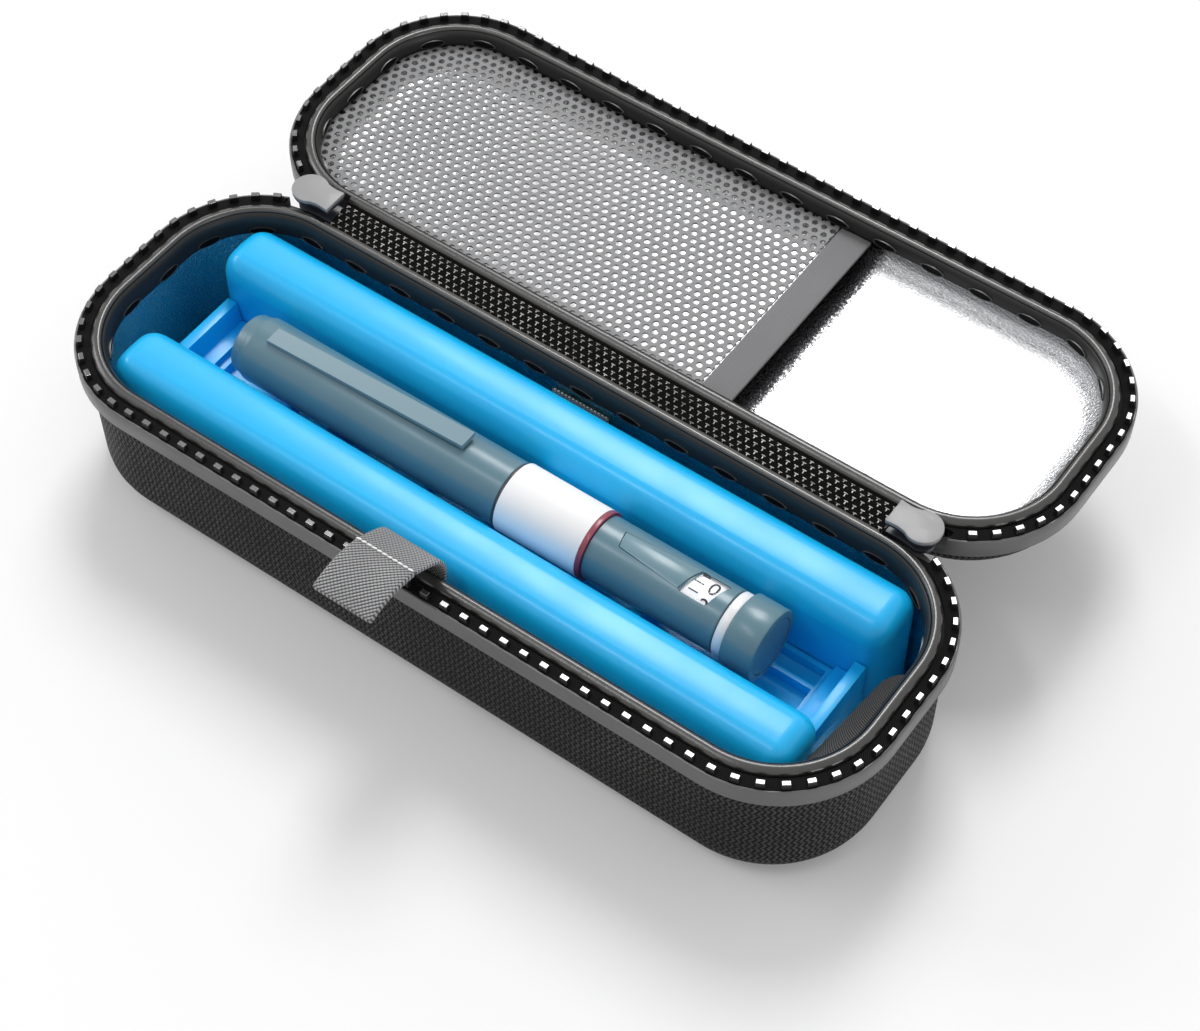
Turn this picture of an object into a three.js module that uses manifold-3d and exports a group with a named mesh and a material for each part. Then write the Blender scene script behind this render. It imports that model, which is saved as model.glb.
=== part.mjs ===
// Insulated cooling case for an injection pen: zipped shell, lift-out cooling tray and the pen in it.
// Millimetres, +Z up. The origin is the centre of the flat face that the base rests on.
import * as THREE from 'three';
import { mergeVertices } from 'three/addons/utils/BufferGeometryUtils.js';
import Module from 'manifold-3d';

const wasm = await Module();
wasm.setup();

// Outline and heights of the case
const caseLength = 231;
const caseWidth = 81.5;
const caseCorner = 31.3;
const rimHeight = 44;
const lidDepth = 16;
const baseEdgeRound = 8.8;
const lidEdgeRound = 6;

// Clearances
const seat = 0.3;
const runningFit = 0.25;
const overrun = 5;

// Layers of the shell
const bandOverhang = 2.5;
const coverThick = 0.9;
const foamThick = 3.2;
const foilThick = 0.6;

// Rim: tape, teeth, bead, band and binding
const tapeInset = 0.7;
const tapeWidth = 3.2;
const tapeThick = 0.6;
const tapeDrop = 1.4;
const toothPitch = 5.6;
const toothLength = 2.1;
const toothWidth = 1.4;
const toothHeight = 1.75;
const toothInset = 1.6;
const bandDepth = 6.4;
const bandLip = 0.4;
const bandRound = 1.3;
const bindingThick = 0.9;
const baseBindingDepth = 7.2;
const lidBindingDepth = 4.6;
const bindingTuck = 0.9;

// Hinge line and the strip over it
const closedGap = 0.3;
const hingeGap = 0.3;
const stripEndGap = 0.7;
const stripThick = 0.9;
const stripEdge = 0.3;

// Zipper sliders
const sliderOffset = 1.3;
const sliderHeadRadius = 4.4;
const sliderTailLength = 7.8;
const sliderTailWidth = 7.1;
const sliderNeckWidth = 5.4;
const sliderWing = 1.1;
const sliderTop = 2.7;
const outerWingDrop = 3.6;
const outerWingWidth = 6.4;
const sliderPostWidth = 1.8;
const sliderPostLength = 6;

// Net pocket in the lid
const pocketGap = 4.3;
const netThick = 0.6;
const netEnd = 22;
const netPitch = 7.4;
const netHole = 4.8;
const netBorder = 3.2;
const netHem = 0.6;
const pocketBandWidth = 8.8;
const pocketBandThick = 0.9;

// Cooling tray
const trayEndGap = 8.7;
const traySideGap = 3.25;
const trayDrop = 2.5;
const trayCorner = 5.5;
const trayTopRound = 6;
const trayBottomRound = 2.4;
const trayWall = 1.6;
const troughGap = 2.64;
const trayPlateThick = 1.2;
const bridgeSetback = 3.1;
const bridgeLip = 2.9;
const lipBelowPen = 5.94;
const ledgeDropShare = 0.296;
const ledgeSlope = 1;
const ledgeWidth = 3.7;
const floorDropShare = 0.107;
const pocketDropShare = 0.16;
const floorRib = 1.3;
const ribOffset = 4.4;
const floorPocketLength = 20.5;
const saddleWidth = 3;
const saddleBelowPen = 6.54;
const saddleShares = [-0.566, 0, 0.498];

// Pen
const penRadius = 9.02;
const penDrop = 9.46;
const capEndInset = 37.7;
const capMouth = 3.6;
const capWall = 1.02;
const capChamfer = 2.4;
const capNose = 2.1;
const neckStart = -6;
const neckWall = 0.7;
const labelDepth = 0.62;
const labelThick = 0.4;
const labelEnd = 27;
const bandEnd = 29.6;
const barrelEndInset = 49.9;
const barrelWall = 1.42;
const bulkhead = 4;
const bulkheadStart = 5;
const rodRadius = 1.9;
const holderGap = 0.4;
const holderWall = 0.9;
const holderSetback = 15.8;
const nozzleStep = 2;
const nozzleLength = 8;
const glassGap = 0.35;
const glassWall = 0.85;
const glassNeck = 3.2;
const glassNeckLength = 3;
const crimpLength = 3;
const plungerLength = 7;
const plungerGap = 1.2;
const rodFootRadius = 3.4;
const rodFootLength = 1.2;
const rodGap = 2;

// Dose dial of the pen
const windowSetback = 10.8;
const windowLength = 7.4;
const windowHalfWidth = 3.85;
const windowSkew = 1.1;
const panelGap = 5.2;
const panelHalfWidth = 2.25;
const panelDepth = 0.4;
const drumWall = 0.9;
const drumStart = 12;
const collarSetback = 0.66;
const collarLength = 2.4;
const knobProud = 0.33;
const knobLength = 8.5;
const knobEdge = 0.35;
const sleeveWall = 1.1;
const sleeveStart = 14;
const sleeveOverlap = 4.4;
const buttonRim = 2.15;
const buttonThick = 1.6;
const buttonTravel = 1;
const buttonStem = 8;

// Clip on the pen cap
const clipSetback = 8.8;
const clipEnd = -10;
const clipWidth = 4.6;
const clipThick = 1.1;
const clipLift = 0.6;
const clipRoot = 5;
const clipBump = 2.4;

// Soft pieces inside the base
const strapWidth = 16.7;
const strapThick = 0.6;
const strapDrop = 4.6;
const strapRearDrop = 6.6;
const strapGap = 0.75;
const strapBend = 4;
const tabThick = 1.1;
const tailThick = 2.2;
const tabRise = 15.5;
const tagStartShare = -0.552;
const tagEndShare = 0.162;
const tagThick = 0.5;
const tagTop = 1.6;
const tagHeight = 7.4;
const tagFootStartShare = 0.2;
const tagFootEndShare = 0.46;

// Steps of round stretches
const cornerSteps = 6;
const trayCornerSteps = 4;
const roundSteps = 3;
const turnSteps = 24;

// Levels and insets that follow from the sizes
const coverIn = bandOverhang + coverThick;
const foamOut = coverIn + seat;
const foamIn = foamOut + foamThick;
const foilOut = foamIn + seat;
const foilIn = foilOut + foilThick;
const bindingIn = foilOut + bindingThick;
const tapeIn = tapeInset + tapeWidth;
const beadOut = tapeIn + seat;
const wallDrop = tapeDrop + tapeThick + seat;
const wallTop = rimHeight - wallDrop;
const tapeTop = rimHeight - tapeDrop;
const floorTop = coverThick + seat + foamThick + seat + foilThick;
const lidFloor = rimHeight - lidDepth;
const netBottom = lidFloor + floorTop + pocketGap;
const netTop = netBottom + netThick;
const hingeY = caseWidth / 2 + hingeGap / 2;
const hingeZ = rimHeight + closedGap / 2;
const lidCentre = 2 * hingeY;
const sliderStart = caseLength / 2 - caseCorner - sliderOffset;
const sliderHeadCentre = sliderStart + sliderTailLength;
const stripHalfLength = sliderStart - stripEndGap;
const sweepRadius = Math.hypot(sliderHeadRadius, sliderTop - closedGap / 2) + runningFit;
const penZ = rimHeight - penDrop;
const trayHalfLength = caseLength / 2 - foilIn - trayEndGap;
const trayHalfWidth = caseWidth / 2 - foilIn - traySideGap;
const trayTop = rimHeight - trayDrop;
const trayBottom = floorTop + seat + strapThick + seat;
const troughHalfWidth = penRadius + troughGap;
const bridgeHalfLength = trayHalfLength - bridgeSetback;
const bridgeLipTop = penZ - lipBelowPen;
const saddleTop = penZ - saddleBelowPen;
const strapInset = caseWidth / 2 - foilIn - strapGap;
const strapRise = rimHeight - strapDrop;
const strapRearRise = rimHeight - strapRearDrop;
const capEnd = capEndInset - caseLength / 2;
const barrelEnd = caseLength / 2 - barrelEndInset;
const holderStart = capEnd + holderSetback;
const windowStart = barrelEnd - windowSetback;
const clipStart = capEnd + clipSetback;
const neckRadius = penRadius - capWall - seat;
const holderRadius = neckRadius - neckWall - holderGap;
const nozzleRadius = holderRadius - nozzleStep;
const glassRadius = holderRadius - holderWall - glassGap;
const barrelBore = penRadius - barrelWall;
const drumRadius = barrelBore - seat;
const sleeveRadius = drumRadius - drumWall - seat;
const collarRadius = penRadius - collarSetback;
const knobRadius = penRadius + knobProud;
const buttonRadius = knobRadius - buttonRim;
const turn = 2 * Math.PI;

// Geometry helpers

function tidy(geometry) {
  const bare = geometry.clone();
  bare.deleteAttribute('normal');
  bare.deleteAttribute('uv');
  const merged = mergeVertices(bare, seat / 1000);
  const index = merged.index.array;
  const kept = [];
  for (let i = 0; i < index.length; i += 3) {
    const [a, b, c] = [index[i], index[i + 1], index[i + 2]];
    if (a !== b && b !== c && c !== a) kept.push(a, b, c);
  }
  merged.setIndex(kept);
  return merged;
}

// Signed volume decides which way the triangles are wound, so that faces point out.
function outward(geometry) {
  const place = geometry.attributes.position;
  const index = geometry.index.array;
  const [a, b, c] = [new THREE.Vector3(), new THREE.Vector3(), new THREE.Vector3()];
  let volume = 0;
  for (let i = 0; i < index.length; i += 3) {
    a.fromBufferAttribute(place, index[i]);
    b.fromBufferAttribute(place, index[i + 1]);
    c.fromBufferAttribute(place, index[i + 2]);
    volume += a.dot(b.cross(c));
  }
  if (volume < 0) geometry.setIndex([...index].reverse());
  return geometry;
}

// Skin over a row of loops with equal numbers of points; closed joins the last loop to the first.
function loft(loops, closed) {
  const count = loops[0].length;
  const index = [];
  const rows = closed ? loops.length : loops.length - 1;
  for (let row = 0; row < rows; row += 1) {
    const next = (row + 1) % loops.length;
    for (let i = 0; i < count; i += 1) {
      const j = (i + 1) % count;
      const [a, b, c, d] = [row * count + i, row * count + j, next * count + j, next * count + i];
      index.push(a, b, c, a, c, d);
    }
  }
  if (!closed) {
    const last = (loops.length - 1) * count;
    for (let i = 1; i < count - 1; i += 1) {
      index.push(0, i + 1, i);
      index.push(last, last + i, last + i + 1);
    }
  }
  const geometry = new THREE.BufferGeometry();
  const places = loops.flat().flatMap((p) => p.toArray());
  geometry.setAttribute('position', new THREE.Float32BufferAttribute(places, 3));
  geometry.setIndex(index);
  return outward(tidy(geometry));
}

// Rounded rectangle at a height, with its corners as arcs
function roundedLoop(halfX, halfY, radius, z, steps) {
  const points = [];
  const quarters = [[1, 1], [-1, 1], [-1, -1], [1, -1]];
  quarters.forEach(([sideX, sideY], quarter) => {
    for (let i = 0; i <= steps; i += 1) {
      const angle = (quarter + i / steps) * turn / 4;
      const x = sideX * (halfX - radius) + radius * Math.cos(angle);
      const y = sideY * (halfY - radius) + radius * Math.sin(angle);
      points.push(new THREE.Vector3(x, y, z));
    }
  });
  return points;
}

const caseLoop = (inset, z) => roundedLoop(
  caseLength / 2 - inset, caseWidth / 2 - inset, caseCorner - inset, z, cornerSteps);

const hoop = (section) => loft(section.map(([inset, z]) => caseLoop(inset, z)), true);
const dish = (section) => loft(section.map(([inset, z]) => caseLoop(inset, z)), false);

// Quarter round from a floor up to a wall, as [inset, height] points
function roundedFoot(inset, z, radius) {
  const points = [];
  for (let i = 0; i <= roundSteps; i += 1) {
    const angle = (i / roundSteps) * turn / 4;
    points.push([inset + radius * (1 - Math.sin(angle)), z + radius * (1 - Math.cos(angle))]);
  }
  return points;
}

function cupSection(outer, inner, bottom, floor, top, radius) {
  const innerRadius = Math.max(radius - (inner - bandOverhang), foilThick);
  const outerRadius = Math.max(radius - (outer - bandOverhang), foilThick);
  const outside = roundedFoot(outer, bottom, outerRadius);
  const inside = roundedFoot(inner, floor, innerRadius).reverse();
  return [...outside, [outer, top], [inner, top], ...inside];
}

function solid(geometry) {
  const clean = tidy(geometry);
  return new wasm.Manifold(new wasm.Mesh({
    numProp: 3,
    vertProperties: Float32Array.from(clean.attributes.position.array),
    triVerts: Uint32Array.from(clean.index.array),
  }));
}

function surface(manifold) {
  const mesh = manifold.getMesh();
  const places = [];
  for (let i = 0; i < mesh.vertProperties.length; i += mesh.numProp) {
    places.push(...mesh.vertProperties.subarray(i, i + 3));
  }
  const geometry = new THREE.BufferGeometry();
  geometry.setAttribute('position', new THREE.Float32BufferAttribute(places, 3));
  geometry.setIndex([...mesh.triVerts]);
  return geometry;
}

const joinAll = (pieces) => pieces.reduce((whole, piece) => whole.add(piece));

function block(lowX, highX, lowY, highY, lowZ, highZ) {
  const box = new THREE.BoxGeometry(highX - lowX, highY - lowY, highZ - lowZ);
  box.translate((lowX + highX) / 2, (lowY + highY) / 2, (lowZ + highZ) / 2);
  return solid(box);
}

// Solid of revolution about the pen's axis from [x, radius] points
function turned(profile, steps = turnSteps) {
  const points = profile.map(([x, radius]) => new THREE.Vector2(radius, x));
  const lathe = new THREE.LatheGeometry(points, steps);
  lathe.rotateZ(-turn / 4);
  return outward(tidy(lathe));
}

const tube = (start, end, radius, bore) => turned(
  [[start, bore], [start, radius], [end, radius], [end, bore], [start, bore]]);

const roundBar = (start, end, radius) => turned(
  [[start, 0], [start, radius], [end, radius], [end, 0]]);

// Ribbon of a given width along X, thick about a centre line given as [y, z] points
function ribbon(centre, thick, width) {
  const line = centre.map(([y, z]) => new THREE.Vector2(y, z));
  const left = [];
  const right = [];
  line.forEach((point, i) => {
    const before = line[Math.max(i - 1, 0)];
    const after = line[Math.min(i + 1, line.length - 1)];
    const along = after.clone().sub(before).normalize();
    const across = new THREE.Vector2(-along.y, along.x).multiplyScalar(thick / 2);
    left.push(point.clone().add(across));
    right.unshift(point.clone().sub(across));
  });
  const section = new THREE.Shape([...left, ...right]);
  const geometry = new THREE.ExtrudeGeometry(section, { depth: width, bevelEnabled: false });
  geometry.rotateX(turn / 4);
  geometry.rotateZ(turn / 4);
  geometry.translate(-width / 2, 0, 0);
  return outward(tidy(geometry));
}

function material(colour, roughness, metalness = 0) {
  return new THREE.MeshStandardMaterial({ color: colour, roughness, metalness });
}

const looks = {
  cover: material(0x1d1d1f, 0.9),
  foam: material(0x3a3a3d, 0.95),
  foil: material(0xc9ccd0, 0.25, 0.9),
  band: material(0x4c4c4f, 0.75),
  bead: material(0x58585b, 0.6),
  tape: material(0x141415, 0.85),
  binding: material(0x2b2d30, 0.85),
  strip: material(0x2a2a2b, 0.85),
  slider: material(0xb4b4b6, 0.35, 0.7),
  net: material(0xa6a8aa, 0.7),
  pocketBand: material(0x7c7d7f, 0.8),
  strap: material(0x9a9a9b, 0.9),
  tag: material(0x161617, 0.8),
  tray: material(0x1fa8ea, 0.4),
  trayPlate: material(0x1b93cf, 0.45),
  gel: material(0x8fd6ff, 0.3),
  pen: material(0x44697b, 0.4),
  label: material(0xe9e9ea, 0.5),
  redBand: material(0x7d2f42, 0.5),
  window: material(0xdfe8ee, 0.1),
  drum: material(0xf2f2f2, 0.5),
  collar: material(0xe6e6e8, 0.45),
  inner: material(0xc9cdd1, 0.5),
  clear: material(0xd9e3e8, 0.15),
  rubber: material(0x55585b, 0.8),
  crimp: material(0xb9bcc0, 0.35, 0.8),
};

const object = new THREE.Group();

function place(name, geometry, look, parent = object) {
  const mesh = new THREE.Mesh(geometry, look);
  mesh.name = name;
  parent.add(mesh);
  return mesh;
}

// Shell of either half

// Both sliders swing about the hinge line, so the rims are hollowed round it.
function clearSliders(geometry) {
  const length = sliderHeadCentre + sliderHeadRadius + seat - sliderStart + seat;
  const middle = sliderStart - seat + length / 2;
  const groove = new THREE.CylinderGeometry(sweepRadius, sweepRadius, length, turnSteps);
  groove.rotateZ(turn / 4);
  groove.translate(middle, hingeY, hingeZ);
  const mirror = groove.clone().translate(-2 * middle, 0, 0);
  return surface(solid(geometry).subtract(solid(groove)).subtract(solid(mirror)));
}

const coverShell = (bottom, radius) => dish(
  cupSection(bandOverhang, coverIn, bottom, bottom + coverThick, wallTop, radius));

function foamShell(bottom, radius) {
  const under = bottom + coverThick + seat;
  return dish(cupSection(foamOut, foamIn, under, under + foamThick, wallTop, radius));
}

function foilShell(bottom, radius, top) {
  const under = bottom + floorTop - foilThick;
  return dish(cupSection(foilOut, foilIn, under, under + foilThick, top, radius));
}

// Everything over the wall top on the hinge side, between the sliders
const hingeSide = (bottom) => block(-sliderStart, sliderStart, 0, caseWidth, bottom, rimHeight);

// Band round the rim, with a thin lip beside the tape except along the hinge
function bandRing() {
  const inner = bandOverhang - seat;
  const foot = tapeTop - bandDepth;
  const ring = hoop([
    [0, tapeTop], [0, foot + bandRound], [bandRound * 0.4, foot + bandRound * 0.4],
    [bandRound, foot], [inner, foot - seat], [inner, wallTop], [bandLip, wallTop], [bandLip, tapeTop],
  ]);
  return surface(solid(clearSliders(ring)).subtract(hingeSide(wallTop)));
}

function beadRing() {
  const width = foamIn - beadOut;
  const under = wallTop + seat;
  const height = rimHeight - under;
  const crownShares = [[0, 0], [0, 0.6], [0.2, 0.92], [0.48, 1], [0.8, 0.92], [1, 0.5], [1, 0]];
  return hoop(crownShares.map(([across, up]) => [beadOut + width * across, under + height * up]));
}

const bindingRing = (depth) => hoop([
  [foilOut, rimHeight - bindingTuck], [bindingIn - bindingThick / 4, rimHeight - bindingTuck],
  [bindingIn, rimHeight - 2 * bindingTuck], [bindingIn, rimHeight - depth], [foilOut, rimHeight - depth],
]);

// Distance along the tooth line from the middle of the front, to a place and a heading
function rimStation(distance) {
  const side = Math.sign(distance);
  const radius = caseCorner - toothInset;
  const halfX = caseLength / 2 - caseCorner;
  const halfY = caseWidth / 2 - caseCorner;
  const arc = radius * turn / 4;
  let left = Math.abs(distance);
  if (left <= halfX) return { x: side * left, y: -halfY - radius, heading: 0 };
  left -= halfX;
  if (left <= arc) {
    const angle = left / radius;
    return {
      x: side * (halfX + radius * Math.sin(angle)),
      y: -halfY - radius * Math.cos(angle),
      heading: side * angle,
    };
  }
  left -= arc;
  if (left <= 2 * halfY) return { x: side * (halfX + radius), y: left - halfY, heading: side * turn / 4 };
  const angle = (left - 2 * halfY) / radius;
  return {
    x: side * (halfX + radius * Math.cos(angle)),
    y: halfY + radius * Math.sin(angle),
    heading: side * (turn / 4 + angle),
  };
}

// Tape with its row of teeth, open along the hinge; phase shifts the row by a share of the pitch.
function toothedTape(phaseShare) {
  const ring = solid(clearSliders(hoop([
    [tapeInset, tapeTop], [tapeIn, tapeTop], [tapeIn, tapeTop - tapeThick], [tapeInset, tapeTop - tapeThick],
  ]))).subtract(hingeSide(wallTop));
  const teeth = [];
  const rowEnd = sliderHeadCentre + sliderHeadRadius + toothLength;
  for (const side of [-1, 1]) {
    for (let k = 0; ; k += 1) {
      const distance = side * (k + phaseShare) * toothPitch;
      const station = rimStation(distance);
      if (station.y > 0 && Math.abs(station.x) < rowEnd) break;
      if (distance === 0 && side > 0) continue;
      const tooth = new THREE.BoxGeometry(toothLength, toothWidth, toothHeight + tapeThick / 2);
      tooth.translate(0, 0, tapeTop + toothHeight / 2 - tapeThick / 4);
      tooth.rotateZ(station.heading);
      tooth.translate(station.x, station.y, 0);
      teeth.push(solid(tooth));
    }
  }
  return surface(joinAll([ring, ...teeth]));
}

// Base half
place('base_fabric_cover', clearSliders(coverShell(0, baseEdgeRound)), looks.cover);
place('base_foam_shell', clearSliders(foamShell(0, baseEdgeRound)), looks.foam);
place('base_foil_liner', foilShell(0, baseEdgeRound, rimHeight - baseBindingDepth - seat), looks.foil);
place('base_rim_band', bandRing(), looks.band);
place('base_zipper_tape', toothedTape(1 / 2), looks.tape);
place('base_bead', clearSliders(beadRing()), looks.bead);
place('base_binding', bindingRing(baseBindingDepth), looks.binding);

// Lid half, open flat: its own pieces keep the hinge side at +Y and are turned to meet the base.
const lid = new THREE.Group();
lid.position.y = lidCentre;
object.add(lid);
const lidShell = new THREE.Group();
lidShell.rotation.z = turn / 2;
lid.add(lidShell);

function lidFoil() {
  const whole = solid(foilShell(lidFloor, lidEdgeRound, rimHeight - lidBindingDepth - seat));
  const seatTop = netBottom - seat;
  const bandReach = netEnd + seat + pocketBandWidth + seat;
  const cut = block(-caseLength, bandReach, -caseWidth, caseWidth, seatTop, rimHeight);
  return surface(whole.subtract(cut));
}

place('lid_fabric_cover', clearSliders(coverShell(lidFloor, lidEdgeRound)), looks.cover, lidShell);
place('lid_foam_shell', clearSliders(foamShell(lidFloor, lidEdgeRound)), looks.foam, lidShell);
place('lid_foil_liner', lidFoil(), looks.foil, lid);
place('lid_rim_band', bandRing(), looks.band, lidShell);
place('lid_zipper_tape', toothedTape(0), looks.tape, lidShell);
place('lid_bead', clearSliders(beadRing()), looks.bead, lidShell);
place('lid_binding', bindingRing(lidBindingDepth), looks.binding, lid);

// Net pocket: a sheet with staggered round holes, hemmed up to the binding
function netSheet() {
  const edge = caseLoop(foilOut, 0).filter((p) => p.x < 0).map((p) => new THREE.Vector2(p.x, p.y));
  const halfWidth = caseWidth / 2 - foilOut;
  const shape = new THREE.Shape([
    ...edge, new THREE.Vector2(netEnd, -halfWidth), new THREE.Vector2(netEnd, halfWidth),
  ]);
  const rowGap = netPitch * Math.sqrt(3) / 2;
  const room = netBorder + netHole / 2;
  const rows = Math.floor((halfWidth - room) / rowGap);
  const columns = Math.ceil(caseLength / netPitch);
  for (let row = -rows; row <= rows; row += 1) {
    const stagger = row % 2 === 0 ? 0 : netPitch / 2;
    for (let column = 0; column < columns; column += 1) {
      const centre = new THREE.Vector2(netEnd - room - stagger - column * netPitch, row * rowGap);
      if (!insideCase(centre, foilOut + room)) continue;
      const hole = new THREE.Path();
      for (let i = 0; i < 6; i += 1) {
        const angle = i * turn / 6;
        const x = centre.x + netHole / 2 * Math.sin(angle);
        const y = centre.y + netHole / 2 * Math.cos(angle);
        if (i === 0) hole.moveTo(x, y);
        else hole.lineTo(x, y);
      }
      hole.closePath();
      shape.holes.push(hole);
    }
  }
  const sheet = new THREE.ExtrudeGeometry(shape, { depth: netThick, bevelEnabled: false });
  sheet.translate(0, 0, netBottom);
  const hemTop = rimHeight - lidBindingDepth - seat;
  const hem = solid(hoop([
    [foilOut, netTop - netThick / 2], [foilOut, hemTop],
    [foilOut + netHem, hemTop], [foilOut + netHem, netTop - netThick / 2],
  ]));
  const side = block(-caseLength, netEnd, -caseWidth, caseWidth, 0, rimHeight);
  return surface(solid(outward(tidy(sheet))).add(hem.intersect(side)));
}

function insideCase(point, inset) {
  const radius = caseCorner - inset;
  const x = Math.max(Math.abs(point.x) - (caseLength / 2 - caseCorner), 0);
  const y = Math.max(Math.abs(point.y) - (caseWidth / 2 - caseCorner), 0);
  return Math.hypot(x, y) <= radius;
}

function pocketBand() {
  const start = netEnd + seat;
  const half = caseWidth / 2 - foilOut;
  return surface(block(start, start + pocketBandWidth, -half, half, netBottom, netBottom + pocketBandThick));
}

place('mesh_pocket', netSheet(), looks.net, lid);
place('pocket_band', pocketBand(), looks.pocketBand, lid);

// Woven strip over the hinge line
function hingeStrip() {
  const inner = hingeY - (caseWidth / 2 - tapeIn);
  const bottom = wallTop + seat;
  return surface(block(
    -stripHalfLength, stripHalfLength, hingeY - inner + stripEdge, hingeY + inner - stripEdge,
    bottom, bottom + stripThick));
}

place('hinge_strip', hingeStrip(), looks.strip);

// Zipper slider: a wing over the rims, a post between them and a narrower wing below
function sliderWingPlate(tailWidth, neckWidth, headRadius) {
  const neck = sliderHeadCentre - Math.sqrt(headRadius ** 2 - (neckWidth / 2) ** 2);
  const middle = (sliderStart + neck) / 2;
  const plan = new THREE.Shape();
  plan.moveTo(sliderStart, -tailWidth / 2);
  plan.lineTo(middle, -neckWidth / 2);
  const start = Math.asin(neckWidth / 2 / headRadius);
  plan.absarc(sliderHeadCentre, 0, headRadius, start - turn / 2, turn / 2 - start, false);
  plan.lineTo(middle, neckWidth / 2);
  plan.lineTo(sliderStart, tailWidth / 2);
  plan.closePath();
  return plan;
}

function slider() {
  const top = rimHeight + sliderTop - hingeZ;
  const solidPlate = (plan, bottom) => {
    const settings = { depth: sliderWing, bevelEnabled: false, curveSegments: 5 };
    return solid(new THREE.ExtrudeGeometry(plan, settings).translate(0, 0, bottom));
  };
  const upper = solidPlate(
    sliderWingPlate(sliderTailWidth, sliderNeckWidth, sliderHeadRadius), top - sliderWing);
  const lower = solidPlate(
    sliderWingPlate(outerWingWidth, sliderNeckWidth, outerWingWidth / 2), -outerWingDrop);
  const postEnd = sliderHeadCentre + sliderPostLength / 2;
  const post = block(
    sliderHeadCentre - sliderPostLength / 2, postEnd - sliderPostWidth,
    -sliderPostWidth / 2, sliderPostWidth / 2,
    -outerWingDrop + sliderWing / 2, top - sliderWing / 2);
  return joinAll([upper, lower, post]);
}

for (const [name, angle] of [['slider_right', 0], ['slider_left', turn / 2]]) {
  const mesh = place(name, surface(slider()), looks.slider);
  mesh.position.set(0, hingeY, hingeZ);
  mesh.rotation.z = angle;
}

// Cooling tray: two rounded bolsters, a ribbed bridge between them and a plate under all three

function bolsterLoops(inset, bottom, topRound, bottomRound) {
  const halfX = trayHalfLength - inset;
  const halfY = (trayHalfWidth - troughHalfWidth) / 2 - inset;
  const centre = (trayHalfWidth + troughHalfWidth) / 2;
  const radius = trayCorner - inset;
  const top = trayTop - inset;
  const loopAt = (inward, z) => {
    const share = (halfY - inward) / halfY;
    return roundedLoop(halfX - inward, halfY - inward, radius * share, z, trayCornerSteps)
      .map((p) => p.setY(p.y + centre));
  };
  const loops = [];
  const steps = bottomRound > 0 ? 2 : 0;
  for (let i = 0; i < steps; i += 1) {
    const angle = (i / steps) * turn / 4;
    loops.push(loopAt(bottomRound * (1 - Math.sin(angle)), bottom + bottomRound * (1 - Math.cos(angle))));
  }
  loops.push(loopAt(0, bottom + bottomRound));
  const topSteps = roundSteps + 1;
  for (let i = 0; i <= topSteps; i += 1) {
    const angle = (i / topSteps) * turn / 4;
    loops.push(loopAt(topRound * (1 - Math.cos(angle)), top - topRound + topRound * Math.sin(angle)));
  }
  return loops;
}

const shellBottom = trayBottom + trayPlateThick + seat;
const bridgeHeight = bridgeLipTop - shellBottom;
const ledgeTop = bridgeLipTop - ledgeDropShare * bridgeHeight;
const floorLevel = ledgeTop - floorDropShare * bridgeHeight;
const pocketLevel = floorLevel - pocketDropShare * bridgeHeight;
const ledgeReach = bridgeHalfLength - bridgeLip - ledgeSlope;
const floorReach = ledgeReach - ledgeWidth;
const bridgeHollowTop = pocketLevel - trayWall;
const bridgeHalfWidth = troughHalfWidth - seat;
const bridgeHollowHalf = bridgeHalfWidth - trayWall;

function troughCut() {
  const half = troughHalfWidth;
  const open = trayTop + overrun;
  const slopeEnd = ledgeReach + ledgeSlope;
  const mouth = [[ledgeReach, ledgeTop], [slopeEnd, bridgeLipTop], [slopeEnd, open]];
  const outlinePoints = [...mouth, ...mouth.map(([x, z]) => [-x, z]).reverse()];
  const shape = new THREE.Shape(outlinePoints.map(([x, z]) => new THREE.Vector2(x, z)));
  const upper = new THREE.ExtrudeGeometry(shape, { depth: 2 * half, bevelEnabled: false });
  upper.rotateX(turn / 4);
  upper.translate(0, half, 0);
  const floor = block(-floorReach, floorReach, -half, half, floorLevel, ledgeTop + overrun);
  return solid(outward(tidy(upper))).add(floor);
}

function floorPockets() {
  const pitch = floorPocketLength + floorRib;
  const count = Math.floor(floorReach / pitch);
  const rows = [
    [-bridgeHalfWidth + floorRib, -ribOffset - floorRib / 2],
    [-ribOffset + floorRib / 2, ribOffset - floorRib / 2],
    [ribOffset + floorRib / 2, bridgeHalfWidth - floorRib],
  ];
  const pockets = [];
  for (let i = -count; i < count; i += 1) {
    const start = i * pitch + floorRib / 2;
    for (const [low, high] of rows) {
      pockets.push(block(start, start + floorPocketLength, low, high, pocketLevel, floorLevel + overrun));
    }
  }
  return pockets;
}

function saddle(x) {
  const stem = block(
    x - saddleWidth / 2, x + saddleWidth / 2, -bridgeHalfWidth, bridgeHalfWidth,
    pocketLevel - trayWall / 2, saddleTop);
  const bed = roundBar(x - saddleWidth, x + saddleWidth, penRadius + seat).translate(0, 0, penZ);
  return stem.subtract(solid(bed));
}

function bolster() {
  const outer = solid(loft(bolsterLoops(0, shellBottom, trayTopRound, trayBottomRound), false));
  const inner = solid(loft(
    bolsterLoops(trayWall, shellBottom - overrun, trayTopRound - trayWall, 0), false));
  return surface(outer.subtract(inner));
}

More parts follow.
